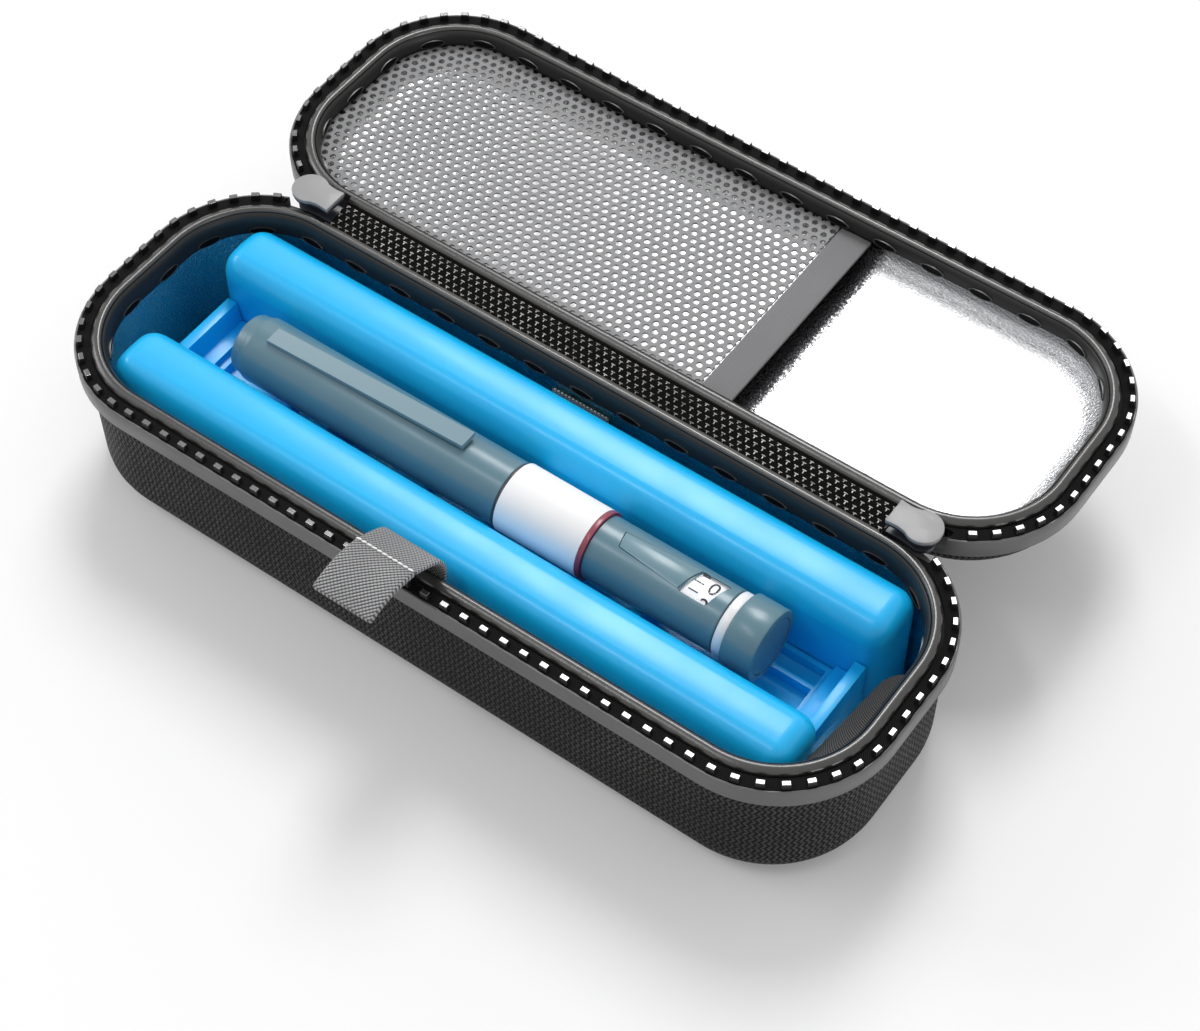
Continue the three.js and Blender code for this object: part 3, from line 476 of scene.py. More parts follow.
M = {
    "cover": woven(
        "zigzag_cloth", "zigzag", (0.0005, 0.0005, 0.0006), (0.085, 0.083, 0.081), 0.0006,
        rough=0.45, gloss=0.10, fade_to=0.03, Column=0.00145, Wave=0.0025, Sway=0.62),
    "band": plain(
        "rim_band_cloth", (0.055, 0.055, 0.057), 0.34, grain=0.0003, depth=0.00003, gloss=1.0),
    "bead": plain("bead_cord", (0.026, 0.0245, 0.023), 0.27, grain=0.0005, gloss=0.8),
    "tape": woven("zipper_cloth", "twill", grey(0.002), grey(0.010), 0.00006, gloss=0.1, Rib=0.0006),
    "tooth": plain("tooth_metal", (0.20, 0.20, 0.205), 0.14, metallic=1.0, **TOOTH_FINISH),
    # Painted shade: a near-black copy of the teeth's finish for their sides, which lie in shade
    # under the lit tops.
    "tooth_painted_shade": plain("tooth_painted_shade", (0.010, 0.010, 0.011), 0.4, gloss=0.25, **TOOTH_FINISH),
    "binding": plain("binding_cloth", (0.020, 0.0185, 0.018), 0.38, depth=0.00003, gloss=0.3),
    "stitch": plain(
        "stitch_thread", (0.018, 0.0175, 0.0175), 0.32, grain=0.0002, depth=0.00004, gloss=0.9),
    # Painted shade: near-black discs behind the stitch loops stand for the shaded dimples in the
    # binding.
    "shade_disc": plain("stitch_painted_shade", grey(0.002), 0.6, grain=0.0002, depth=0.00004, gloss=0.1),
    "foam": plain("shell_foam", (0.030, 0.030, 0.032), 0.95, grain=0.0006, depth=0.0001),
    # The lid foil's walls, and its strip beside the pocket's tape, are painted darker as reflection
    # and shade.
    "foil_lid": foil_material(
        "lid_foil", (0.70, 0.705, 0.715), (0.42, 0.425, 0.435), 33.3, painted_shade_strip=(33.5, 37.0)),
    "foil_base": foil_material("base_foil", (0.42, 0.70, 0.76), (0.36, 0.70, 0.76), 5.3),
    "net": net_material(),
    "pocket": woven(
        "pocket_tape", "twill", (0.15, 0.15, 0.155), (0.24, 0.24, 0.245), 0.00004,
        gloss=0.3, Rib=0.0005),
    "strip": woven(
        "hinge_weave", "fleck", grey(0.0018), (0.90, 0.87, 0.83), 0.0002,
        gloss=0.12, fade_to=0.0, Cell=0.0023, Row=0.00165),
    "strap": woven(
        "strap_webbing", "twill", (0.055, 0.055, 0.057), (0.56, 0.56, 0.57), 0.0003,
        rough=0.8, Rib=0.00110),
    "tag": woven(
        "tag_cloth", "twill", (0.005, 0.005, 0.006), (0.090, 0.086, 0.081), 0.00010,
        gloss=0.2, Rib=0.0006),
    "sewing": plain("sewing_thread", (0.90, 0.90, 0.89), 0.6, grain=0.0002, depth=0.00003),
    "tray": plain(
        "tray_plastic", (0.006, 0.48, 0.96), 0.33, second=(0.006, 0.46, 0.94), coat=0.15,
        coat_rough=0.18, grain=0.0008, depth=0.000006, subsurface=0.3, gloss=0.4,
        radius=(0.0004, 0.003, 0.005)),
    "gel": plain(
        "cooling_gel", (0.25, 0.62, 0.95), 0.2, subsurface=0.5, radius=(0.002, 0.004, 0.006)),
    "pen": plain(
        "pen_plastic", (0.085, 0.185, 0.235), 0.34, second=(0.078, 0.172, 0.220), **PEN_FINISH),
    # Painted highlight: the name plate is made lighter than the barrel, as if its flatter face
    # reflected more light.
    "plate": plain(
        "plate_plastic_painted_highlight", (0.125, 0.235, 0.285), 0.36, second=(0.115, 0.22, 0.27), **PEN_FINISH),
    "clip": plain(
        "clip_plastic", (0.16, 0.26, 0.31), 0.34, second=(0.15, 0.25, 0.30), coat=0.3,
        coat_rough=0.16, grain=0.0005, depth=0.000008),
    "label": plain(
        "film_label", (0.88, 0.88, 0.885), 0.45, second=(0.86, 0.86, 0.865), gloss=0.3),
    # Painted shade: a dark ring at the label's left end stands for the shaded slit there.
    "label_slit_shade": plain("label_slit_shade", (0.04, 0.035, 0.045), 0.4),
    "red": plain("dark_red_ring", (0.25, 0.03, 0.06), 0.35, coat=0.3),
    "collar": plain("white_collar", grey(0.83), 0.3, second=(0.79, 0.79, 0.80), coat=0.3),
    "drum": plain("number_drum", grey(0.86), 0.4, second=(0.83, 0.83, 0.84)),
    "number": plain("number_ink", (0.015, 0.016, 0.02), 0.5),
    "window": clear_material("window_lens", (0.97, 0.98, 1.0), 0.03),
    "clear": clear_material("cartridge_clear", (0.93, 0.96, 0.98), 0.06),
    "inner": plain("inner_plastic", (0.58, 0.60, 0.62), 0.45),
    "rubber": plain("plunger_rubber", (0.09, 0.10, 0.105), 0.6),
    "crimp": plain("crimp_metal", (0.70, 0.72, 0.74), 0.3, metallic=1.0),
    "slider": plain(
        "slider_enamel", (0.275, 0.275, 0.28), 0.45, second=(0.255, 0.255, 0.26), coat=0.1,
        depth=0.000012),
    # Painted shade: a dark navy copy of the slider's enamel for the plates and post under its top
    # plate.
    "slider_painted_shade": plain("slider_painted_shade", (0.030, 0.034, 0.046), 0.35),
}

# ---- modelling helpers


def take(*pieces):
    """Ends edit mode, selects the pieces and makes the first of them active."""
    if bpy.context.object and bpy.context.object.mode != "OBJECT":
        bpy.ops.object.mode_set(mode="OBJECT")
    bpy.ops.object.select_all(action="DESELECT")
    for piece in pieces:
        piece.select_set(True)
    if pieces:
        bpy.context.view_layer.objects.active = pieces[0]


def named(name):
    piece = bpy.context.object
    piece.name = piece.data.name = name
    return piece


def added(primitive, name, **options):
    take()
    primitive(**options)
    return named(name)


def settle(piece):
    """Puts the piece's place, turn and scale in its mesh."""
    take(piece)
    bpy.ops.object.transform_apply(location=True, rotation=True, scale=True)
    return piece


@contextlib.contextmanager
def editing(piece):
    """Edit mode, with the whole mesh selected at its start."""
    take(piece)
    bpy.ops.object.mode_set(mode="EDIT")
    bpy.ops.mesh.select_all(action="SELECT")
    yield
    bpy.ops.object.mode_set(mode="OBJECT")


def pick(kind, test):
    """In edit mode, selects the faces, edges or vertices that pass the test."""
    bpy.ops.mesh.select_mode(type=kind)
    bpy.ops.mesh.select_all(action="DESELECT")
    mesh = bpy.context.object.data
    grid = bmesh.from_edit_mesh(mesh)
    for part in {"VERT": grid.verts, "EDGE": grid.edges, "FACE": grid.faces}[kind]:
        if test(part):
            part.select_set(True)
    bmesh.update_edit_mesh(mesh)


def upright(edge):
    return abs(edge.verts[0].co.z - edge.verts[1].co.z) > 1 * MM


def middle(part):
    return sum((vert.co for vert in part.verts), Vector()) / len(part.verts)


def modify(piece, kind, **settings):
    take(piece)
    made = piece.modifiers.new(kind.title(), kind)
    for name, value in settings.items():
        setattr(made, name, value)
    bpy.ops.object.modifier_apply(modifier=made.name)


def smooth(piece, angle=35):
    take(piece)
    bpy.ops.object.shade_smooth_by_angle(angle=math.radians(angle))


def soften(piece, width, angle=30, segments=2):
    modify(piece, "BEVEL", width=width * MM, segments=segments, limit_method="ANGLE",
           angle_limit=math.radians(angle), harden_normals=False)
    smooth(piece)


def thicken(piece, thick, offset=-1, **settings):
    modify(piece, "SOLIDIFY", thickness=thick * MM, offset=offset, **settings)


def cut(piece, cutters, operation="DIFFERENCE"):
    for cutter in cutters:
        modify(piece, "BOOLEAN", object=cutter, operation=operation, solver="EXACT")


def drop(pieces):
    for piece in pieces:
        bpy.data.objects.remove(piece)


def twin(piece, name):
    made = linked(name, piece.data.copy())
    made.data.name = name
    return made


def move(piece, x=0.0, y=0.0, z=0.0, turn=None):
    take(piece)
    if turn is not None:
        bpy.ops.transform.rotate(value=turn, orient_axis="Z", center_override=(0, 0, 0))
    bpy.ops.transform.translate(value=(x * MM, y * MM, z * MM))
    return settle(piece)


def to_lid(piece):
    """Turns a rim piece to meet the base's on the other side of the hinge."""
    return move(piece, y=LID_CENTRE, turn=math.pi)


def joined(pieces, name):
    take(*pieces)
    bpy.ops.object.join()
    return named(name)


def dress(piece, material):
    piece.data.materials.clear()
    piece.data.materials.append(M[material])
    return piece


def finish_piece(piece, body, nodes):
    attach(piece, body)
    if nodes:
        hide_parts(*nodes)
    return piece


def block(name, low, high):
    piece = added(bpy.ops.mesh.primitive_cube_add, name, size=1,
                  location=[(a + b) / 2 * MM for a, b in zip(low, high)])
    piece.scale = [(b - a) * MM for a, b in zip(low, high)]
    return settle(piece)


def face_out(piece):
    with editing(piece):
        bpy.ops.mesh.remove_doubles(threshold=0.000002)
        bpy.ops.mesh.normals_make_consistent(inside=False)


def close_ring():
    """In edit mode, deletes the two end faces of a traced ring and joins its open edges."""
    pick("FACE", lambda f: len(f.verts) > 4)
    bpy.ops.mesh.delete(type="ONLY_FACE")
    pick("EDGE", lambda e: e.is_boundary)
    bpy.ops.mesh.bridge_edge_loops()


def push(x, y, z):
    """In edit mode, extrudes what is selected by a step in millimetres."""
    bpy.ops.mesh.extrude_region_move(
        TRANSFORM_OT_translate={"value": (x * MM, y * MM, z * MM)})


def rim_ring(name, section):
    """Ring round the case: a rounded plane traced through (inset, height) pairs."""
    inset, height = section[0]
    piece = added(bpy.ops.mesh.primitive_plane_add, name, size=2, location=(0, 0, height * MM))
    piece.scale = ((HALF_LENGTH - inset) * MM, (HALF_WIDTH - inset) * MM, 1)
    settle(piece)
    with editing(piece):
        bpy.ops.mesh.bevel(
            offset=(CORNER - inset) * MM, offset_type="OFFSET", segments=CORNER_STEPS,
            affect="VERTICES", clamp_overlap=False)
        bpy.ops.mesh.select_all(action="SELECT")
        for (a, z), (b, w) in zip(section, section[1:]):
            if b > a:
                bpy.ops.mesh.inset(thickness=(b - a) * MM, depth=(w - z) * MM, use_even_offset=True)
            else:
                push(0, 0, w - z)
        close_ring()
    face_out(piece)
    return piece


def cup(name, inset, bottom, top, foot, thick, foot_steps=7):
    """Moulded tray shape: a box with rounded corners and foot, open at the top, with its wall."""
    piece = block(name, (inset - HALF_LENGTH, inset - HALF_WIDTH, bottom),
                  (HALF_LENGTH - inset, HALF_WIDTH - inset, top))
    with editing(piece):
        pick("EDGE", upright)
        bpy.ops.mesh.bevel(
            offset=(CORNER - inset) * MM, segments=CORNER_STEPS, affect="EDGES",
            clamp_overlap=False)
        pick("EDGE", lambda e: all(v.co.z < (bottom + 0.1) * MM for v in e.verts)
             and len(e.link_faces) == 2)
        bpy.ops.mesh.bevel(
            offset=foot * MM, segments=foot_steps, affect="EDGES", clamp_overlap=False)
        pick("FACE", lambda f: f.normal.z > 0.9 and middle(f).z > (top - 0.1) * MM)
        bpy.ops.mesh.delete(type="FACE")
    thicken(piece, thick, use_even_offset=True)
    return piece


def from_reach(x, y):
    """Nearest point of the rectangle between the corner centres, and the offset from it."""
    near_x, near_y = max(-REACH_X, min(REACH_X, x)), max(-REACH_Y, min(REACH_Y, y))
    return near_x, near_y, x - near_x, y - near_y


def rim_inset(x, y):
    _, _, dx, dy = from_reach(x, y)
    return CORNER - math.hypot(dx, dy)


def rim_length(inset):
    return 4 * ((CORNER - inset) * QUARTER + REACH_X + REACH_Y)


def rim_station(x, y):
    """Distance of a point round the cover's outline, counterclockwise from its rear left corner."""
    near_x, near_y, dx, dy = from_reach(x, y)
    if dx == 0 and dy == 0:
        dy = math.copysign(1, y)
    swept = (math.atan2(dy, dx) - QUARTER) % (2 * math.pi) or 2 * math.pi
    if swept < math.pi + 1e-6:
        straight = REACH_Y - near_y + near_x + REACH_X
    else:
        straight = 3 * REACH_X + 3 * REACH_Y + near_y - near_x
    return (CORNER - COVER_INSET) * swept + straight


def rim_place(distance, inset):
    """Place and heading on an outline, counterclockwise from the left end of its front."""
    radius = CORNER - inset
    distance %= rim_length(inset)
    for side in range(4):
        reach, other = (REACH_Y, REACH_X) if side % 2 else (REACH_X, REACH_Y)
        if distance <= 2 * reach + radius * QUARTER:
            break
        distance -= 2 * reach + radius * QUARTER
    heading = side * QUARTER
    along = min(distance, 2 * reach) - reach
    x = along * math.cos(heading) + other * math.sin(heading)
    y = along * math.sin(heading) - other * math.cos(heading)
    heading += max(distance - 2 * reach, 0) / radius
    return x + radius * math.sin(heading), y - radius * math.cos(heading), heading


def set_down(piece, x, y, z, heading):
    """Sets a small piece at a place on the rim."""
    piece.rotation_euler.z = heading
    piece.location = (x * MM, y * MM, z * MM)
    return settle(piece)


def run_layer(piece):
    return piece.data.uv_layers.get("Run") or piece.data.uv_layers.new(name="Run")


def run_map(piece):
    """UV map in metres: round the outline and up the wall. Undersides read straight through."""
    mesh, layer = piece.data, run_layer(piece)
    front, whole = rim_station(0, -HALF_WIDTH), rim_length(COVER_INSET)
    for face in mesh.polygons:
        centre = face.center / MM
        flat = abs(face.normal.z) > 0.97 and rim_inset(centre.x, centre.y) > 10
        home = rim_station(centre.x, centre.y)
        for loop in face.loop_indices:
            x, y, z = mesh.vertices[mesh.loops[loop].vertex_index].co / MM
            if flat:
                u, v = front + x, -(y + HALF_WIDTH - COVER_INSET)
            else:
                u, v = rim_station(x, y), z - rim_inset(x, y) + COVER_INSET
                u -= whole * round((u - home) / whole)
            layer.data[loop].uv = (u * MM, v * MM)
    return piece


def place_map(piece, place):
    """UV map in metres from a function of the vertex's place."""
    mesh, layer = piece.data, run_layer(piece)
    for loop in mesh.loops:
        layer.data[loop.index].uv = place(mesh.vertices[loop.vertex_index].co)
    return piece


def turned_bar(name, profile, hollow=False):
    """Piece turned about the pen's axis: a disc pushed and resized through (x, radius) pairs."""
    x, radius = profile[0]
    piece = added(
        bpy.ops.mesh.primitive_circle_add, name, vertices=72, radius=radius * MM,
        fill_type="NGON", location=(x * MM, 0, PEN_Z * MM), rotation=(0, QUARTER, 0))
    settle(piece)
    with editing(piece):
        for (a, r), (b, q) in zip(profile, profile[1:]):
            push(b - a, 0, 0)
            if q != r:
                bpy.ops.transform.resize(value=(1, q / r, q / r))
        if hollow:
            close_ring()
    face_out(piece)
    return piece


def sleeve(name, start, end, radius, bore, soft=0.0):
    piece = turned_bar(name, [(start, bore), (start, radius), (end, radius), (end, bore)],
                       hollow=True)
    if soft:
        soften(piece, soft, angle=50)
    smooth(piece)
    return piece


def prism(name, plan):
    """Upright block over a four-cornered plan on the pen's axis, for cutting."""
    piece = block(name, (-1, -1, PEN_Z), (1, 1, PEN_Z + 15))
    corners = dict(zip(((-1, -1), (1, -1), (1, 1), (-1, 1)), plan))
    for vert in piece.data.vertices:
        x, y = corners[(round(vert.co.x / MM), round(vert.co.y / MM))]
        vert.co.x, vert.co.y = x * MM, y * MM
    return piece


def curved_patch(name, plan, start, end, inner, outer):
    """Part of a tube about the pen's axis that stands over a four-cornered plan."""
    piece = turned_bar(name, [(start, inner), (start, outer), (end, outer), (end, inner)],
                       hollow=True)
    over = prism(name + "_plan", plan)
    cut(piece, [over], "INTERSECT")
    drop([over])
    return piece


def edge_piece(name, start, end):
    """A single edge between two places, from which a strip is pushed out."""
    piece = added(bpy.ops.mesh.primitive_plane_add, name, size=1)
    with editing(piece):
        pick("VERT", lambda v: v.co.y > 0)
        bpy.ops.mesh.delete(type="VERT")
    for vert in piece.data.vertices:
        vert.co = Vector(start if vert.co.x < 0 else end) * MM
    return piece


# ---- shells and rim


def swing_cutters():
    """Room in the rims for the sliders that swing through them."""
    return [settle(added(
        bpy.ops.mesh.primitive_cylinder_add, "swing_cutter", vertices=48,
        radius=SWING_RADIUS * MM, depth=SWING_WIDTH * MM, rotation=(0, QUARTER, 0),
        location=(side * SWING_CENTRE * MM, HINGE.y * MM, HINGE.z * MM))) for side in (-1, 1)]


swing = swing_cutters()
hinge_block = block("hinge_cutter", (-SLIDER_START, 10, WALL_TOP), (SLIDER_START, 60, 50))


def base_and_lid(piece, label, node_label, look):
    """Finishes a rim piece of the base and its copy on the lid."""
    dress(run_map(piece), look)
    other = to_lid(twin(piece, "lid_" + label))
    finish_piece(piece, "base", ["base_" + node_label])
    finish_piece(other, "lid", ["lid_" + node_label])


def shells():
    for half, bottom, foot in (("base", 0.0, 8.8), ("lid", LID_BOTTOM, 6.0)):
        cover = cup(half + "_cover", COVER_INSET, bottom, WALL_TOP, foot, COVER_THICK)
        foam = cup(half + "_foam", FOAM_INSET, bottom + FOAM_LIFT, WALL_TOP, foot - FOAM_LIFT,
                   FOAM_THICK)
        for piece, material in ((cover, "cover"), (foam, "foam")):
            cut(piece, swing)
            dress(run_map(piece), material)
            smooth(piece, 40)
            if half == "lid":
                to_lid(piece)
        finish_piece(cover, half, [half + "_fabric_cover"])
        finish_piece(foam, half, [half + "_foam_shell"])


def rim_band():
    piece = rim_ring("base_band", [
        (0.0, 36.9), (0.0, 39.5), (0.0, 42.15), (0.14, 42.45), (0.42, 42.6), (0.68, 42.55),
        (0.7, WALL_TOP), (2.2, WALL_TOP - 0.01), (2.2, 36.0)])
    soften(piece, 0.3, angle=50)
    cut(piece, swing + [hinge_block])
    smooth(piece, 50)
    base_and_lid(piece, "band", "rim_band", "band")


def zipper_cloth():
    piece = rim_ring("base_zipper_cloth", [
        (0.75, 42.0), (0.75, 42.5), (3.85, 42.5001), (3.85, 42.0)])
    cut(piece, swing + [hinge_block])
    smooth(piece)
    base_and_lid(piece, "zipper_cloth", "zipper_tape", "tape")


def tooth_row(name, phase):
    """Teeth on both sides of the front's middle, as far round as the sliders."""
    half_x, half_y = TOOTH_HALF
    pattern = block("tooth", (-half_x, -half_y, TOOTH_LOW), (half_x, half_y, TOOTH_HIGH))
    for vert in pattern.data.vertices:
        if vert.co.z > (TOOTH_LOW + TOOTH_HIGH) / 2 * MM:
            vert.co.x *= TOOTH_TAPER[0]
            vert.co.y *= TOOTH_TAPER[1]
    soften(pattern, 0.12)
    smooth(pattern, 5)
    dress(pattern, "tooth")
    # Painted shade: faces that don't face up take the dark material, and the tops keep the metal.
    pattern.data.materials.append(M["tooth_painted_shade"])
    for face in pattern.data.polygons:
        face.material_index = 0 if face.normal.z >= 0.3 else 1
    teeth = []
    for side in (-1, 1):
        for k in range(60):
            distance = side * (k + phase) * TOOTH_PITCH
            if distance == 0 and side > 0:
                continue
            x, y, heading = rim_place(REACH_X + distance, TOOTH_LINE)
            if y > 0 and abs(x) < SLIDER_HEAD + 6.5:
                break
            teeth.append(set_down(twin(pattern, "tooth_copy"), x, y, 0, heading))
    drop([pattern])
    return joined(teeth, name)


def bead():
    """Piping: a rounded cord whose crest lies toward the inside."""
    piece = rim_ring("base_bead_cord", [
        (4.2, 42.0), (4.2, 42.85), (4.35, 43.2), (4.65, 43.5), (5.05, 43.75), (5.5, 43.92),
        (5.9, 44.0), (6.25, 43.96), (6.55, 43.8), (6.78, 43.5), (6.9, 43.1), (6.9001, 42.0)])
    cut(piece, swing)
    smooth(piece, 60)
    base_and_lid(piece, "bead_cord", "bead", "bead")


def binding_ring(name, foot):
    piece = rim_ring(name, [
        (6.95, 41.6), (6.9501, 43.0), (7.1, 43.2), (7.3, 43.05), (7.6, 42.6), (7.85, 42.0),
        (8.03, 41.2), (8.1, 40.4), (8.1001, foot)])
    smooth(piece, 60)
    return run_map(dress(piece, "binding"))


def stitch_row(name, foot):
    """Loops of thread that hold the binding's edge down, each round a near-black disc of painted
    shade where the thread dimples the binding.
    """
    loop = added(
        bpy.ops.mesh.primitive_torus_add, "stitch_loop", major_segments=24, minor_segments=6,
        major_radius=3.3 * MM, minor_radius=0.28 * MM, rotation=(QUARTER, 0, 0))
    # Painted shade: a near-black disc behind each loop for the shaded dimple in the binding.
    shade_disc = added(
        bpy.ops.mesh.primitive_circle_add, "shade_disc", vertices=24, radius=3.2 * MM,
        fill_type="NGON", rotation=(QUARTER, 0, 0))
    for piece, material in ((loop, "stitch"), (shade_disc, "shade_disc")):
        piece.scale = (1, STITCH_FLATTENED, 1)
        dress(settle(piece), material)
    thicken(shade_disc, 0.16, offset=0)
    pattern = joined([loop, shade_disc], "stitch")
    smooth(pattern, 40)
    whole = rim_length(STITCH_LINE)
    count = round(whole / STITCH_PITCH)
    stitches = []
    for k in range(count):
        x, y, heading = rim_place((k + 0.5) * whole / count, STITCH_LINE)
        stitch = twin(pattern, "stitch_copy")
        if abs(x) > REACH_X and abs(y) > REACH_Y:
            for vert in stitch.data.vertices:
                vert.co.y += (vert.co.x / MM) ** 2 / (2 * (CORNER - STITCH_LINE)) * MM
        stitches.append(set_down(stitch, x, y, foot, heading))
    drop([pattern])
    return joined(stitches, name)


shells()
rim_band()
zipper_cloth()
finish_piece(tooth_row("base_teeth", 0.5), "base", [])
finish_piece(to_lid(tooth_row("lid_teeth", 0.0)), "lid", [])
bead()
finish_piece(binding_ring("base_binding_tape", 36.8), "base", ["base_binding"])
finish_piece(to_lid(binding_ring("lid_binding_tape", 39.4)), "lid", ["lid_binding"])
finish_piece(stitch_row("base_stitches", 37.8), "base", [])
finish_piece(to_lid(stitch_row("lid_stitches", 40.35)), "lid", [])

# ---- foil linings


def widen_foot(piece, start, share):
    """Draws the lid foil's fillet out over its floor, from a given inset on."""
    for vert in piece.data.vertices:
        _, _, dx, dy = from_reach(vert.co.x / MM, vert.co.y / MM - LID_CENTRE)
        out = math.hypot(dx, dy)
        inset = CORNER - out
        if out and inset > start:
            shift = (CORNER - start - (inset - start) * share) / out - 1
            vert.co.x += dx * shift * MM
            vert.co.y += dy * shift * MM


def foils():
    base = cup("base_foil", FOIL_INSET, 4.7, 36.5, 6.0, FOIL_THICK, foot_steps=8)
    lid = to_lid(cup("lid_foil", FOIL_INSET, 32.7, 39.1, 5.6, FOIL_THICK, foot_steps=10))
    pocket_side = block("pocket_side", (-120, 30, 37.3), (31.4, 140, 45))
    cut(lid, [pocket_side])
    drop([pocket_side])
    widen_foot(lid, 8.2, 1.9)
    for piece, body in ((base, "base"), (lid, "lid")):
        smooth(dress(piece, "foil_" + body), 50)
        finish_piece(piece, body, [body + "_foil_liner"])


foils()

# ---- net pocket


def past_pocket(place):
    """How far a place lies past the pocket's edge, and the way out there."""
    x, y = place.x / MM, place.y / MM - LID_CENTRE
    _, _, dx, dy = from_reach(x, y)
    return NET_INSET - rim_inset(x, y), Vector((dx, dy)).normalized()


def outside_pocket(face):
    place = middle(face)
    return past_pocket(place)[0] > 0.9 or place.x > (NET_END + 0.9) * MM


def net():
    """One six-sided cell with its round hole, copied into staggered rows and trimmed."""
    side, row_gap = NET_PITCH / math.sqrt(3), NET_PITCH * 1.5 / math.sqrt(3)
    cell = added(bpy.ops.mesh.primitive_circle_add, "net_rim", vertices=6, radius=side * MM)
    with editing(cell):
        bpy.ops.mesh.subdivide(number_cuts=1)
    hole = added(
        bpy.ops.mesh.primitive_circle_add, "net_hole", vertices=12, radius=NET_HOLE * MM)
    cell = joined([cell, hole], "net_cell")
    with editing(cell):
        bpy.ops.mesh.bridge_edge_loops()
    move(cell, x=NET_END + 0.5, y=LID_CENTRE, z=NET_HIGH)
    partner = move(twin(cell, "net_partner"), x=-NET_PITCH / 2, y=row_gap)
    near = joined([cell, partner], "net_pair")
    spaced = dict(use_relative_offset=False, use_constant_offset=True)
    modify(near, "ARRAY", count=NET_COLUMNS,
           constant_offset_displace=(-NET_PITCH * MM, 0, 0), **spaced)
    far = twin(near, "net_far")
    for piece, sign in ((near, 1), (far, -1)):
        modify(piece, "ARRAY", count=NET_ROWS,
               constant_offset_displace=(0, sign * 2 * row_gap * MM, 0), **spaced)
    sheet = joined([near, far], "pocket_net")
    with editing(sheet):
        bpy.ops.mesh.remove_doubles(threshold=0.00002)
        pick("FACE", outside_pocket)
        bpy.ops.mesh.delete(type="FACE")
    for vert in sheet.data.vertices:
        past, out = past_pocket(vert.co)
        if past > 0:
            vert.co.x -= out.x * past * MM
            vert.co.y -= out.y * past * MM
        vert.co.x = min(vert.co.x, NET_END * MM)
    thicken(sheet, NET_THICK)
    face_out(sheet)
    smooth(sheet, 30)
    return dress(sheet, "net")


def pocket_tape():
    """Folded tape along the pocket's mouth."""
    piece = block("pocket_tape", (22.3, LID_CENTRE - 33.0, 37.65), (31.1, LID_CENTRE + 33.0, 38.6))
    with editing(piece):
        bpy.ops.mesh.subdivide(number_cuts=3)
    soften(piece, 0.28, segments=3)
    return dress(place_map(piece, lambda co: (co.y, co.x)), "pocket")


net_sheet = finish_piece(net(), "lid", ["mesh_pocket"])
finish_piece(pocket_tape(), "lid", ["pocket_band"])

# ---- hinge strip


def hinge_strip():
    """Woven strip over the hinge line, raised in the middle and sagging beside the base's bead."""
    low, high, half_length = 37.15, 44.65, 82.2
    piece = added(
        bpy.ops.mesh.primitive_grid_add, "hinge_weave", x_subdivisions=60, y_subdivisions=14,
        size=1, location=(0, (low + high) / 2 * MM, 42.55 * MM))
    piece.scale = (2 * half_length * MM, (high - low) * MM, 1)
    settle(piece)
    for vert in piece.data.vertices:
        share = (vert.co.y / MM - low) / (high - low)
        crest = 0.75 * math.exp(-((share - 0.68) / 0.22) ** 2)
        sag = 0.25 * math.exp(-((share - 0.16) / 0.12) ** 2)
        wave = 0.06 * math.sin(vert.co.x / MM * 0.9) * math.sin(share * 9)
        vert.co.z += (crest - sag + wave) * MM
    thicken(piece, 0.45)
    smooth(piece, 50)
    return dress(place_map(piece, lambda co: (co.x, co.y)), "strip")


strip = hinge_strip()
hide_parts("hinge_strip")
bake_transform(strip)

# ---- zipper sliders


def slider_plate(name, tail, head, low, high, edge):
    """Round head and fanned tail in one outline: half of it pushed out point by point, mirrored."""
    waist = [(SLIDER_START, tail / 2), (84.3, tail / 2 - 0.12), (85.6, tail / 2 - 0.22),
             (86.6, tail / 2 - 0.18)]
    start, steps = math.asin((tail / 2 + 0.15) / head), 18
    angles = [start + (math.pi - start) * k / steps for k in range(steps + 1)]
    line = waist + [(SLIDER_HEAD - head * math.cos(a), head * math.sin(a)) for a in angles]
    piece = edge_piece(name, (line[0][0], 0, high), (*line[0], high))
    with editing(piece):
        bpy.ops.mesh.select_mode(type="EDGE")
        bpy.ops.mesh.select_all(action="SELECT")
        for x, reach in line[1:]:
            bpy.ops.mesh.extrude_region_move()
            grid = bmesh.from_edit_mesh(piece.data)
            for vert in grid.verts:
                if vert.select:
                    vert.co = Vector((x, reach if vert.co.y > 1e-7 else 0.0, high)) * MM
            bmesh.update_edit_mesh(piece.data)
    modify(piece, "MIRROR", use_axis=(False, True, False), use_clip=True,
           merge_threshold=0.00001)
    with editing(piece):
        bpy.ops.mesh.remove_doubles(threshold=0.00001)
        bpy.ops.mesh.dissolve_limited(angle_limit=math.radians(1))
        bpy.ops.mesh.select_all(action="SELECT")
        bpy.ops.mesh.normals_make_consistent(inside=False)
    faces_up = piece.data.polygons[0].normal.z > 0
    thicken(piece, high - low, offset=-1 if faces_up else 1)
    face_out(piece)
    soften(piece, edge, angle=50, segments=3)
    return move(piece, y=HINGE.y)


def slider(node_name, turned):
    """Stacked plates of a zipper slider with the post between them."""
    post = ((SLIDER_HEAD - 3, HINGE.y - 0.9, 41), (SLIDER_HEAD + 1.2, HINGE.y + 0.9, 46))
    # The plates and post under the top plate take the dark material of painted shade.
    piece = joined([
        dress(slider_plate("plate", 7.3, 4.75, 45.6, 46.7, 0.16), "slider"),
        dress(slider_plate("under", 6.8, 4.45, 44.6, 45.45, 0.15), "slider_painted_shade"),
        dress(slider_plate("wing", 6.0, 3.4, 40.55, 41.65, 0.15), "slider_painted_shade"),
        dress(block("post", *post), "slider_painted_shade")], node_name + "_tab")
    if turned:
        take(piece)
        bpy.ops.transform.rotate(
            value=math.pi, orient_axis="Z", center_override=(0, HINGE.y * MM, HINGE.z * MM))
        settle(piece)
    finish_piece(piece, node_name, [node_name])


slider("slider_right", False)
slider("slider_left", True)

# ---- cooling tray


